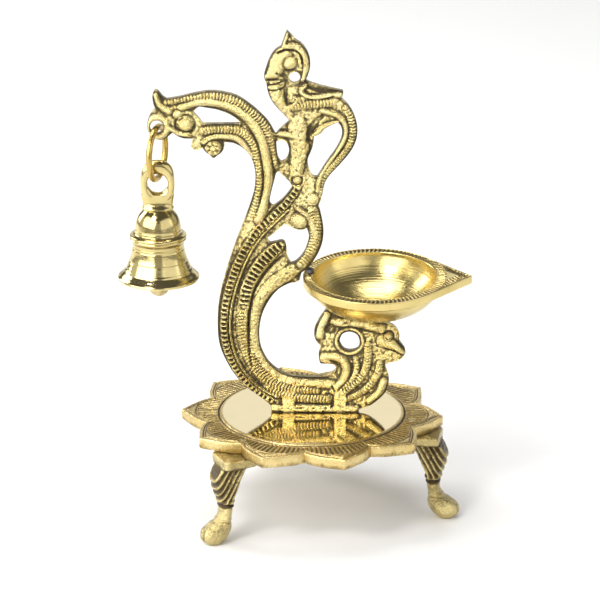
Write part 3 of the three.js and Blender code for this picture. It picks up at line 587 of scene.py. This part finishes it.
def scroll_stand():
    loops = [rounded(loop) for loop in stand_loops()]
    contour = np.vstack(loops)
    tree = KDTree(len(contour))
    for i, (u, v) in enumerate(contour):
        tree.insert((u, v, 0), i)
    tree.balance()
    us = np.arange(contour[:, 0].min() - PITCH, contour[:, 0].max() + 2 * PITCH, PITCH)
    vs = np.arange(contour[:, 1].min() - PITCH, contour[:, 1].max() + 2 * PITCH, PITCH)
    mask = inside_grid(loops, us, vs)
    near_inside = mask.copy()
    for grown, source in ((near_inside, mask), (near_inside.T, mask.T)):
        grown[1:] |= source[:-1]
        grown[:-1] |= source[1:]
    rows, columns = np.nonzero(near_inside)
    spots = np.stack([us[columns], vs[rows]], 1)
    gap = np.empty(len(spots))
    foot = np.empty((len(spots), 2))
    for i, (u, v) in enumerate(spots):
        place, _, distance = tree.find((u, v, 0))
        gap[i] = distance
        foot[i] = place[:2]
    within = mask[rows, columns]
    keep = within | (gap < 0.4 * PITCH)
    index = np.full(mask.shape, -1)
    index[rows[keep], columns[keep]] = np.arange(keep.sum())
    spots, gap, foot, within = spots[keep], np.where(within, gap, 0)[keep], foot[keep], within[keep]
    spots[~within] = foot[~within]
    a, b = index[:-1, :-1], index[:-1, 1:]
    c, d = index[1:, 1:], index[1:, :-1]
    whole = (a >= 0) & (b >= 0) & (c >= 0) & (d >= 0)
    quads = np.stack([a[whole], b[whole], c[whole], d[whole]], 1)
    used = np.unique(quads)
    renumber = np.full(len(spots), -1)
    renumber[used] = np.arange(len(used))
    quads = renumber[quads]
    spots, gap, foot = spots[used], gap[used], foot[used]
    row_of, column_of = rows[keep][used], columns[keep][used]
    edges = np.vstack([quads[:, [0, 1]], quads[:, [1, 2]], quads[:, [2, 3]], quads[:, [3, 0]]])
    forward = {tuple(e) for e in edges.tolist()}
    rim = [e for e in forward if (e[1], e[0]) not in forward]
    rim_points = np.unique(np.array(rim))
    spots[rim_points] = foot[rim_points]
    gap[rim_points] = 0
    to_ends = np.clip(np.minimum(spots[:, 0] + 16.6, 19.2 - spots[:, 0]), 0, 9)
    gap = np.where(spots[:, 1] < 1.3, np.maximum(gap, to_ends), gap)

    grain_grid = 0.8 * smooth_noise(mask.shape, 2, 5) + 0.45 * smooth_noise(mask.shape, 5, 6)
    grain = grain_grid[row_of, column_of]
    half = relief(spots, grain)
    soft_dents = smooth_noise(mask.shape, 14, 8)[row_of, column_of]
    half = half + 0.11 * grain + 0.12 * soft_dents - 0.75 * (1 - unit(gap / 4.5)) ** 2
    for screw in SCREW_PLACES:
        column = unit((3.4 - np.abs(spots[:, 0] - screw)) / 1.2) * unit((11.5 - spots[:, 1]) / 2)
        half = np.maximum(half, 2.4 * column + 0.05 * grain * column)
    ring_gap = np.hypot(spots[:, 0] - SNOUT_HOLE[0], spots[:, 1] - SNOUT_HOLE[1])
    land = unit((ring_gap - 4.6) / 1.2)
    collar = 2.15 + 0.3 * np.sqrt(unit(1 - ((ring_gap - 4.1) / 1.3) ** 2))
    half = land * half + (1 - land) * np.minimum(collar, LAND_HALF)
    half = np.clip(half, THINNEST, CREST_HALF)
    shoulder = np.sqrt(unit(1 - (1 - unit(gap / 1.15)) ** 2))
    wall = 1.15
    front = wall + (half - wall) * shoulder
    back_grain = smooth_noise(mask.shape, 2.4, 9)[row_of, column_of]
    back = wall + (np.clip(half + 0.08 * (back_grain - grain), THINNEST, CREST_HALF) - wall) * shoulder
    back = np.minimum(back, np.where(land < 1, LAND_HALF, CREST_HALF))

    height_grid = np.zeros(mask.shape)
    full = np.zeros(mask.shape, bool)
    height_grid[row_of, column_of] = front
    full[row_of, column_of] = True
    close = blurred(height_grid, full, 3)[row_of, column_of] - front
    wide = blurred(height_grid, full, 9)[row_of, column_of] - front
    dirt_and_shade = unit(0.25 + 1.6 * close + 0.3 * wide)
    dirt_and_shade = np.where(gap < 0.5, np.maximum(dirt_and_shade, 0.3), dirt_and_shade)
    # Soot and painted shade from the table of darker places, added to the stand's darkening value.
    for u, v, wide_u, wide_v, amount in SOOT_AND_PAINTED_SHADE:
        dirt_and_shade = dirt_and_shade + amount * hump(spots[:, 0], u, wide_u) * hump(spots[:, 1], v, wide_v)
    dirt_and_shade = unit(dirt_and_shade)

    x, z = to_world(spots[:, 0], spots[:, 1])
    count = len(spots)
    front_points = np.stack([x, STAND_MIDDLE - front, z], 1)
    back_points = np.stack([x, STAND_MIDDLE + back, z], 1)
    points = [front_points, back_points]
    faces = quads.tolist() + (quads[:, ::-1] + count).tolist()
    local = {int(p): i for i, p in enumerate(rim_points)}
    levels = []
    for row, share in enumerate((0.4, -0.4)):
        moved = np.stack([x[rim_points], np.full(len(rim_points), STAND_MIDDLE - share), z[rim_points]], 1)
        levels.append(2 * count + row * len(rim_points))
        points.append(moved)
    for p, q in rim:
        i, j = local[p], local[q]
        faces.append((q, p, levels[0] + i, levels[0] + j))
        faces.append((levels[0] + j, levels[0] + i, levels[1] + i, levels[1] + j))
        faces.append((levels[1] + j, levels[1] + i, count + p, count + q))
    back_dirt_and_shade = unit(dirt_and_shade + 0.08)
    values = np.concatenate([dirt_and_shade, back_dirt_and_shade, np.full(2 * len(rim_points), 0.6)])
    make("stand_relief", np.vstack(points), faces, CAST, "lamp", values, 62, ("scroll_stand",))


def ring_rows(count, centre=(0, 0)):
    """An empty list of rings, a list of their shades, and the function that adds a ring to both."""
    c, s = circle(count)
    rows, darkness = [], []

    def row(radius, z, shade):
        radius, z, shade = (np.broadcast_to(value, (count,)).astype(float) for value in (radius, z, shade))
        rows.append(np.stack([centre[0] + radius * c, centre[1] + radius * s, z], 1))
        darkness.append(shade)
    return rows, darkness, row


# ---- The lotus plate ----

LEG_RADIUS = 46.5
# Where each leg stands round the plate, and the way its foot points, in degrees.
LEG_PLACES = {"front_left": (228, 205), "right": (348, 350), "rear": (108, 108)}


def leg_centre(name):
    """The middle of a leg's top block, and the direction its foot points."""
    place, turn = (math.radians(value) for value in LEG_PLACES[name])
    return np.array(axis) + LEG_RADIUS * np.array([math.cos(place), math.sin(place)]), turn


def petal_outline(angles):
    """The plate's radius at each angle, from the CAD plate's edge."""
    points = np.array([v.co for v in nodes["base_plate"].data.vertices]) / MM
    flat = points[:, :2] - axis
    far = np.hypot(*flat.T)
    edge = (far > 43.5) & (points[:, 2] > plate_low[2] + 3.5)
    turn = np.arctan2(flat[edge, 1], flat[edge, 0])
    order = np.argsort(turn)
    return np.interp(angles, turn[order], far[edge][order], period=2 * math.pi)


def base_plate():
    count = 1080
    angles = np.arange(count) * 2 * math.pi / count
    outer = petal_outline(angles)
    c, s = np.cos(angles), np.sin(angles)
    bottom, disc_top = plate_low[2], plate_high[2]
    petal_top = disc_top - 0.5
    disc = 37.6
    web = petal_top - 1.7
    tip_turn = math.radians(-4)
    within = ((angles - tip_turn) / (2 * math.pi) * 10 + 0.5) % 1 - 0.5
    rows, darkness, row = ring_rows(count, axis)

    for r in np.linspace(1.2, disc - 1.4, 8):
        row(r, disc_top - 0.01 + 0.004 * math.cos(r * 2.1), 0.05)
    polished = len(rows)
    for past, drop, shade in ((-0.9, 0.02, 0.15), (-0.5, 0.08, 0.2), (-0.2, 0.2, 0.3), (0, 0.45, 0.7),
                              (0.15, 0.85, 1), (0.5, 1.0, 1), (0.75, 0.72, 0.7)):
        row(disc + past, disc_top - drop, shade)
    inner = disc + 1.0
    for share in np.linspace(0, 1, 52):
        radius = inner + (outer - 0.3 - inner) * share
        inset = outer - radius
        line = hump(inset, 1.9, 0.26) + 0.8 * hump(inset, 2.9, 0.22)
        arch = inner + 2.2 + 6.2 * np.sqrt(unit(np.cos(within * math.pi)))
        hatch_zone = unit((radius - inner) / 0.4) * unit((arch - radius) / 0.5)
        hatch_zone = hatch_zone * unit((inset - 3.3) / 0.4)
        hatch = hatch_zone * (0.5 + 0.5 * np.cos(angles * 140))
        line = line + 0.9 * hump(radius - arch, 0.5, 0.28) * (inset > 3.2)
        mid_vein = np.exp(-(within * radius * 0.628 / 0.35) ** 2) * unit((inset - 3.6) / 0.6)
        edge_drop = 0.12 * unit(1 - (inset - 0.3) / 0.3) ** 2
        swell = 0.12 * unit((inset - 0.5) / 3)
        z = petal_top - 0.12 + swell - 0.45 * line - 0.42 * hatch - 0.15 * mid_vein - edge_drop
        for name in LEG_PLACES:
            low, high = box_mm("leg_rivet_" + name)
            middle = (low + high) / 2 - np.array([*axis, 0])
            away = np.hypot(radius * c - middle[0], radius * s - middle[1])
            z = np.where(away < 1.9, petal_top - 0.5, z)
        row(radius, z, unit(0.24 + 0.8 * line + 0.75 * hatch + 0.2 * mid_vein))
    file_marks = 0.05 * np.cos(angles * 420 + 2 * np.sin(angles * 37))
    for inset, drop in ((0.12, 0.3), (0.02, 0.5), (0, 1.4), (0.03, 2.4), (0, 3.4), (0.1, 4.1), (0.35, 4.5)):
        row(outer - inset + file_marks - 0.05, petal_top - drop, 0.3 + 0.2 * (drop > 3))
    shrink = 1 - 3 / 44.5
    under = (1, 0.965, shrink, shrink - 0.012, 0.88, 0.86, 0.845, 0.83, 0.82, 0.81, 0.8, 0.79, 0.78, 0.76,
             0.7, 0.5, 0.25, 0.03)
    for share in under:
        radius = (outer - 0.5) * share
        z = np.full(count, bottom) if share >= shrink else np.full(count, web)
        for name in LEG_PLACES:
            centre, turn = leg_centre(name)
            east = radius * c + axis[0] - centre[0]
            north = radius * s + axis[1] - centre[1]
            far = east * math.cos(turn) + north * math.sin(turn)
            wide = north * math.cos(turn) - east * math.sin(turn)
            pad = (np.abs(far) < 8) & (np.abs(wide) < 8.5)
            z = np.where(pad, bottom, z)
        row(radius, z + 0.04 * np.sin(angles * 53 + share * 90), 0.55)
    points, faces = loft(rows)
    values = np.concatenate([np.concatenate(darkness), [0.05, 0.5]])
    polish = np.zeros(len(points))
    polish[:polished * count] = 1
    polish[len(rows) * count] = 1
    faces = [f[::-1] for f in faces]
    make("lotus_plate", points, faces, PLATE, "lamp", values, 50, ("base_plate",), polish)


# ---- A leg ----

def leg(name):
    height = box_mm("leg_" + name)[1][2]
    count = 96
    angle = np.arange(count) * 2 * math.pi / count
    ca, sa = np.cos(angle), np.sin(angle)
    shape = smooth_profile([
        (0, 6.6, 12.5, 3.6), (0.03, 5.4, 13.9, 4.3), (0.07, 3.8, 14.8, 4.7), (0.12, 2.5, 14.9, 4.7),
        (0.17, 1.9, 14.0, 4.5), (0.22, 2.0, 11.2, 4.3), (0.27, 2.2, 8.3, 4.1), (0.34, 1.9, 6.9, 3.9),
        (0.41, 1.4, 6.9, 4.1), (0.47, 0.9, 7.2, 4.3), (0.58, -0.2, 8.8, 5.0), (0.7, -1.8, 10.0, 5.4),
        (0.78, -3.2, 10.1, 5.6), (0.86, -4.9, 9.3, 5.8), (0.905, -6.6, 7.3, 6.6), (0.905, -6.6, 7.3, 6.6),
        (0.915, -7, 7, 7.5), (1, -7, 7, 7.5)], 7)
    levels = np.unique(np.round(np.concatenate([np.linspace(0, 1, 120), [0.905, 0.91, 0.915]]), 4))
    inner = np.interp(levels, shape[:, 0], shape[:, 1])
    outer = np.interp(levels, shape[:, 0], shape[:, 2])
    width = np.interp(levels, shape[:, 0], shape[:, 3])
    rings, darkness = [], []
    for t, a, b, w in zip(levels, inner, outer, width):
        block = unit((t - 0.9) / 0.012)
        power = 2.2 + 0.6 * unit((t - 0.5) / 0.3) + 7 * block
        x = np.sign(ca) * np.abs(ca) ** (2 / power) * (b - a) / 2
        y = np.sign(sa) * np.abs(sa) ** (2 / power) * w
        leaf = unit((t - 0.46) / 0.05) * (1 - block)
        flute = (0.5 - 0.5 * np.cos(2 * math.pi * (x + (a + b) / 2 + 0.55 * t * height) / 2.5)) ** 0.8
        cut = 1.05 * leaf * flute * unit((0.915 - t) / 0.05)
        lip = (0.55 * hump(t, 0.485, 0.016) - 0.75 * hump(t, 0.455, 0.011)
               + 0.3 * hump(t, 0.432, 0.011) - 0.5 * hump(t, 0.41, 0.01))
        ankle = -0.4 * hump(t, 0.25, 0.012) + 0.3 * hump(t, 0.275, 0.012)
        toes = 0.3 * unit((0.2 - t) / 0.06) * unit(ca) * np.abs(np.sin(sa * math.pi * 1.5)) ** 6
        scale = 1 + (lip + ankle - cut - toes) / np.maximum(4, np.hypot(x, y))
        edge = 1 - 0.06 * math.exp(-(t / 0.015) ** 2) - 0.05 * hump(1, t, 0.008)
        x, y = (x * scale * edge) + (a + b) / 2, y * scale * edge
        rings.append(np.stack([x, y, np.full(count, t * height)], 1))
        shade = 0.26 + 0.16 * hump(t, 0.2, 0.07) + 0.8 * hump(t, 0.44, 0.026) + 0.5 * hump(t, 0.9, 0.02)
        darkness.append(unit(shade + 0.75 * cut / 1.05 + toes))
    points, faces = loft(rings)
    points[:, :2] += 0.05 * np.sin(points[:, [1, 0]] * 3.1 + points[:, [2, 2]] * 1.7)
    centre, turn = leg_centre(name)
    spin = np.array([[math.cos(turn), -math.sin(turn)], [math.sin(turn), math.cos(turn)]])
    points[:, :2] = points[:, :2] @ spin.T + centre
    values = np.concatenate([np.concatenate(darkness), [0.4, 0.4]])
    make("shaped_leg_" + name, points, faces, PAINTED_SHADE_CAST, "lamp", values, 50, ("leg_" + name,))


# ---- The oil bowl ----

def oil_bowl():
    count = 840
    angles = np.arange(count) * 2 * math.pi / count
    signed = (angles + math.pi) % (2 * math.pi) - math.pi
    lean = math.acos(BOWL_RADIUS / BOWL_TIP)
    outer = np.where(np.abs(signed) < lean, BOWL_RADIUS / np.cos(lean - np.abs(signed)), BOWL_RADIUS)
    c, s = np.cos(angles), np.sin(angles)
    depth, wall, band = 16.2, 1.4, 3.6
    rows, darkness, row = ring_rows(count)

    for share in np.linspace(0.03, 1, 34):
        turn = share * math.pi / 2
        r = BOWL_INNER * math.sin(turn) ** 0.8
        z = (wall - depth) * math.cos(turn) ** 1.15
        if z > -0.35:
            continue
        row(r, z + 0.035 * math.cos(r * 3.6), 0.18 + 0.1 * math.cos(r * 3.6))
    for extra, z in ((-0.02, -0.3), (0.06, -0.12), (0.2, -0.03)):
        row(BOWL_INNER + extra, z, 0.15)
    for share in np.linspace(0, 1, 36):
        radius = BOWL_INNER + 0.4 + (outer - 0.35 - BOWL_INNER - 0.4) * share
        rope = np.exp(-((radius - 27.2) / 1.7) ** 8)
        twist = 0.5 + 0.5 * np.cos(angles * 98 + (radius - 27) * 0.9)
        reach = outer - radius
        spout = unit((radius - 29.3) / 0.5) * unit((reach - 0.9) / 0.4)
        spout = spout * unit((5.5 - reach) / 0.8)
        rays = 0.5 + 0.5 * np.cos(2 * math.pi * (radius * c - 0.7 * np.abs(radius * s)) / 2)
        border = hump(outer - radius, 0.8, 0.18) + hump(radius, 28.9, 0.16) * (outer > 29.6)
        z = -0.75 * rope * twist - 0.7 * spout * rays - 0.25 * border
        row(radius, z, unit(0.24 + 0.95 * rope * twist + 0.9 * spout * rays + 0.5 * border))
    for inset, z, shade in ((0.12, -0.06, 0.1), (0.02, -0.25, 0.12), (0, -0.8, 0.2), (0, -1.5, 0.22),
                            (0, -2.3, 0.25), (0.02, -3.1, 0.3), (0.14, -3.45, 0.4), (0.4, -band, 0.5)):
        row(outer - inset + 0.02 * np.cos(angles * 300), z, shade)
    shell = BOWL_INNER + wall + 0.6
    for share in np.linspace(0.25, 1, 4):
        row(outer - 0.4 + (shell + 0.3 - outer + 0.4) * share, -band, 0.6)
    for share in np.linspace(0.985, 0.03, 26):
        turn = share * math.pi / 2
        r = shell * math.sin(turn) ** 0.8
        z = -band / 2 + (band / 2 - depth) * math.cos(turn) ** 1.15
        if z > -band - 0.15:
            continue
        row(r, z + 0.03 * math.cos(r * 2.6), 0.25 + 0.12 * math.cos(r * 2.6))
    points, faces = loft(rows)
    tilt = math.radians(3)
    y, z = points[:, 1].copy(), points[:, 2].copy()
    points[:, 1] = y * math.cos(tilt) - z * math.sin(tilt)
    points[:, 2] = y * math.sin(tilt) + z * math.cos(tilt)
    rim_height = bowl_high[2] - BOWL_RADIUS * math.sin(tilt)
    points += (*bowl_axis, rim_height)
    values = np.concatenate([np.concatenate(darkness), [0.2, 0.3]])
    faces = [f[::-1] for f in faces]
    make("oil_bowl_turned", points, faces, BOWL, "lamp", values, 50, ("oil_bowl",))


def braze():
    low, high = box_mm("bowl_braze")
    middle, reach = (low + high) / 2, (high - low) / 2
    rings = []
    count = 40
    c, s = circle(count)
    for k in range(1, 20):
        turn = math.pi * k / 20
        lump = 0.93 + 0.07 * np.sin(3 * np.arctan2(s, c) + 2.2 * turn) * math.sin(turn)
        rings.append(np.stack([middle[0] + reach[0] * math.sin(turn) * c * lump,
                               middle[1] + reach[1] * math.sin(turn) * s * lump,
                               np.full(count, middle[2] - reach[2] * math.cos(turn) * 0.97)], 1))
    points, faces = loft(rings)
    make("braze_lump", points, faces, SOLDER, "lamp", 0.3, 0, ("bowl_braze",))


# ---- The ring, the bell and its clapper ----

def bell_ring():
    radius, wire = 10.6, 1.27
    middle = (ring_low + ring_high) / 2
    turn = math.radians(-16)
    along_ring = np.linspace(0, 2 * math.pi, 200, endpoint=False)
    flat = radius * np.cos(along_ring)
    path = np.stack([middle[0] - flat * math.sin(turn), middle[1] + flat * math.cos(turn),
                     middle[2] + radius * np.sin(along_ring)], 1)
    joint = np.exp(-(((along_ring - 4.15) % (2 * math.pi)) / 0.035) ** 2)
    rubbed = hump(along_ring, math.pi / 2, 0.2)
    worn = wire - 0.1 * joint + 0.015 * np.sin(along_ring * 23) - 0.02 * rubbed
    points, faces = sweep(path, worn, 28, closed=True, wobble=0.004)
    shade = np.repeat(0.25 + 0.5 * joint, 28)
    make("ring_wire", points, faces, WIRE, "ring", shade, 0, ("bell_ring",))


def bell():
    radius, tall, wall = 16.5, 29.2, 1.9
    rim, crown = bell_low[2], bell_low[2] + tall
    outside = [(1, 0.02), (0.985, 0.04), (0.92, 0.075), (0.81, 0.15), (0.7, 0.3), (0.645, 0.43),
               (0.63, 0.53), (0.63, 0.53), (0.64, 0.545), (0.685, 0.57), (0.69, 0.6), (0.685, 0.635),
               (0.6, 0.66), (0.6, 0.66), (0.575, 0.68), (0.56, 0.74), (0.53, 0.83), (0.48, 0.9),
               (0.42, 0.95), (0.34, 1.0)]
    outer = smooth_profile([(r * radius, rim + z * tall) for r, z in outside], 14)
    height = (outer[:, 1] - rim) / tall
    for line, depth in ((0.12, 0.16), (0.16, 0.1), (0.27, 0.14), (0.45, 0.18), (0.49, 0.12), (0.6, 0.2),
                        (0.72, 0.14)):
        outer[:, 0] -= depth * hump(height, line, 0.008)
    mouth = radius + 0.1
    inside = [(mouth - wall + 0.5, 0.0), (0.86 * mouth - wall / 2, 0.05), (0.74 * mouth - wall, 0.18),
              (0.64 * mouth - wall, 0.35), (0.61 * mouth - wall, 0.55), (0.56 * mouth - wall, 0.72),
              (0.4 * mouth - wall, 0.87), (0.5, 0.895)]
    inner = smooth_profile([(r, rim + z * tall) for r, z in inside], 5)[::-1]
    lip = [(inner[-1][0] + 0.3, rim + 0.02), (radius - 0.5, rim), (radius - 0.1, rim + 0.15)]
    profile = np.vstack([inner, lip, outer])
    centre = bell_axis
    points, faces = lathe(profile, centre, 180, lambda turn, r, z: 0.012 * np.sin(turn * 5 + z))
    rises = points[:, 2] - rim
    outward = np.hypot(points[:, 0] - centre[0], points[:, 1] - centre[1])
    shade = 0.14 + 0.35 * (outward < np.interp(points[:, 2], outer[:, 1], outer[:, 0]) - 1)
    for line, dark in ((0.535, 0.5), (0.662, 0.45)):
        shade = shade + dark * hump(rises, line * tall, 0.35)
    make("bell_cup", points, faces, BELL, "bell", unit(shade), 35, ("bell_body",))

    hole, half_wide, half_thick = 3.98, 6.9, 2.42
    hole_z = bell_high[2] - 9.7
    count, turns = 26, 120
    rings = []
    for k in range(turns):
        a = 2 * math.pi * k / turns
        dx, dz = math.cos(a), math.sin(a)
        reach = (abs(dx / half_wide) ** 2.6 + abs(dz / (9.6 if dz > 0 else 8.5)) ** 2.6) ** (-1 / 2.6)
        section = np.arange(count) * 2 * math.pi / count
        across = np.sign(np.sin(section)) * np.abs(np.sin(section)) ** 0.8 * half_thick
        radial = np.sign(np.cos(section)) * np.abs(np.cos(section)) ** 0.8
        spot = hole + (reach - hole) * (radial + 1) / 2
        rings.append(np.stack([centre[0] + spot * dx, centre[1] + across, hole_z + spot * dz], 1))
    points, faces = loft(rings, "loop")
    make("bell_loop", points, faces, BELL, "bell", 0.22, 0)

    rings = []
    c, s = circle(72)
    neck_low, neck_high = crown - 4.5, hole_z - 4.6
    for z in np.linspace(neck_low, neck_high, 26):
        share = (z - neck_low) / (neck_high - neck_low)
        half = 5.5 + 1.2 * share ** 1.5 + 0.6 * hump(z - crown, 0.6, 0.7)
        thick = half_thick + 1.4 * hump(z, crown, 1.6) * (share < 1)
        rings.append(np.stack([centre[0] + half * np.sign(c) * np.abs(c) ** 0.75,
                               centre[1] + thick * np.sign(s) * np.abs(s) ** 0.75, np.full(72, z)], 1))
    points, faces = loft(rings)
    shade = 0.2 + 0.5 * np.exp(-((points[:, 2] - crown + 0.4) / 0.7) ** 2)
    make("bell_neck", points, faces, BELL, "bell", shade, 50)


def clapper():
    eye_low, eye_high = box_mm("clapper_eye")
    rod_low, rod_high = box_mm("clapper_rod")
    ball_low, ball_high = box_mm("clapper_ball")
    x, y = (eye_low[0] + eye_high[0]) / 2, (eye_low[1] + eye_high[1]) / 2
    eye_radius, hook_radius, ball_radius, wire = 2.4, 1.9, 4.28, 0.58
    eye_z = eye_low[2] + 3.0
    turn = np.linspace(0, 2 * math.pi, 72, endpoint=False)
    path = np.stack([x + eye_radius * np.cos(turn), np.full(72, y), eye_z + eye_radius * np.sin(turn)], 1)
    points, faces = sweep(path, wire, 16, closed=True, wobble=0.01)
    make("eye_wire", points, faces, WIRE, "bell", 0.4, 0, ("clapper_eye",))
    path = np.stack([np.full(16, x), np.full(16, y), np.linspace(eye_z + 2.3, eye_high[2] - 0.05, 16)], 1)
    points, faces = sweep(path, 0.55, 16, wobble=0.01)
    make("eye_shank", points, faces, WIRE, "bell", 0.4, 0)
    hook_z = rod_high[2] - 2.5
    turn = np.linspace(-math.pi / 2, 1.35 * math.pi, 60)
    hook = np.stack([np.full(60, x), y + hook_radius * np.cos(turn), hook_z + hook_radius * np.sin(turn)], 1)
    shaft = np.stack([np.full(40, x), np.full(40, y), np.linspace(rod_low[2] + 0.05, hook_z - 1.95, 40)], 1)
    points, faces = sweep(np.vstack([shaft, hook[2:]]), wire, 16, wobble=0.012)
    make("clapper_wire", points, faces, WIRE, "clapper", 0.4, 0, ("clapper_rod",))
    centre_z = (ball_low[2] + ball_high[2]) / 2
    turns = [math.pi * k / 36 for k in range(1, 36)]
    profile = [(ball_radius * math.sin(a), centre_z - ball_radius * math.cos(a)) for a in turns]
    profile += [(0.95, centre_z + 4.1), (0.9, centre_z + 3.0)]
    points, faces = lathe(profile, (x, y), 72, lambda a, r, z: 0.02 * np.sin(a * 7 + z * 3) * min(1, r))
    make("clapper_ball_turned", points, faces, PAINTED_SHADE_CAST, "clapper", 0.35, 0, ("clapper_ball",))


def cad_finish():
    for name in nodes:
        data = nodes[name].data
        if nodes[name].hide_render:
            continue
        data.materials.clear()
        steel = name.startswith("stand_")
        data.materials.append(STEEL if steel else PAINTED_SHADE_CAST)


# ---- Floor, light and camera ----

def studio():
    material, tree, shader = nodes_of("studio floor")
    coords = add(tree, "ShaderNodeTexCoord").outputs["Object"]
    tone = blend_colour(tree, noise(tree, coords, 9.0, 3.0), (0.83, 0.83, 0.83), (0.86, 0.86, 0.855))
    tree.links.new(tone, shader.inputs["Base Color"])
    shader.inputs["Roughness"].default_value = 0.6
    mesh = bpy.data.meshes.new("floor")
    across = 25
    side = np.linspace(-3, 3, across)
    grid = [(x, y, 0.0) for y in side for x in side]
    quads = [(k, k + 1, k + across + 1, k + across) for k in range(across * (across - 1)) if (k + 1) % across]
    mesh.from_pydata(grid, [], quads)
    mesh.materials.append(material)
    floor = bpy.data.objects.new("floor", mesh)
    bpy.context.scene.collection.objects.link(floor)

    world = bpy.data.worlds.new("studio")
    world.use_nodes = True
    background = world.node_tree.nodes["Background"]
    background.inputs["Color"].default_value = (1, 1, 1, 1)
    background.inputs["Strength"].default_value = 0.13
    bpy.context.scene.world = world
    bpy.context.scene.view_settings.view_transform = "Standard"

    for name, place, width, height, power, tint in (
            ("left panel", (-1.05, -0.88, 0.75), 1.9, 1.2, 28, (1, 0.995, 0.98)),
            ("right panel", (1.05, -0.88, 0.7), 1.9, 1.2, 8, (0.99, 0.99, 1)),
            ("key", (-0.5, -0.65, 1.15), 0.28, 0.28, 6, (1, 0.99, 0.97)),
            ("overhead", (-0.15, 0.3, 1.3), 0.9, 0.6, 10, (1, 1, 1)),
            ("back panel", (0.0, 2.2, 0.75), 2.6, 1.3, 9.5, (1, 1, 0.99)),
            ("far left panel", (-2.2, 0.4, 0.75), 2.4, 1.3, 6.5, (1, 1, 0.99)),
            ("far right panel", (2.2, 0.4, 0.75), 2.4, 1.3, 5, (1, 1, 0.99)),
            ("front panel", (0.0, -2.4, 0.75), 2.2, 1.2, 3, (1, 1, 0.99)),
            ("rim light", (-0.9, 0.6, 0.5), 0.4, 0.7, 5, (1, 1, 1))):
        data = bpy.data.lights.new(name, "AREA")
        data.shape = "RECTANGLE"
        data.size = width
        data.size_y = height
        data.energy = power
        data.color = tint
        lamp = bpy.data.objects.new(name, data)
        lamp.location = place
        lamp.rotation_euler = (Vector((0, 0, 0.1)) - Vector(place)).to_track_quat("-Z", "Y").to_euler()
        bpy.context.scene.collection.objects.link(lamp)

    data = bpy.data.cameras.new("camera")
    data.sensor_width = 36
    data.lens = 237.54
    data.clip_end = 20
    camera = bpy.data.objects.new("camera", data)
    target = Vector((0.0021, -0.004, 0.08987))
    rise = math.radians(20)
    camera.location = target + 1.6 * Vector((0, -math.cos(rise), math.sin(rise)))
    camera.rotation_euler = (target - camera.location).to_track_quat("-Z", "Y").to_euler()
    bpy.context.scene.collection.objects.link(camera)
    bpy.context.scene.camera = camera


scroll_stand()
base_plate()
for leg_name in LEG_PLACES:
    leg(leg_name)
oil_bowl()
braze()
bell_ring()
bell()
clapper()
cad_finish()
studio()
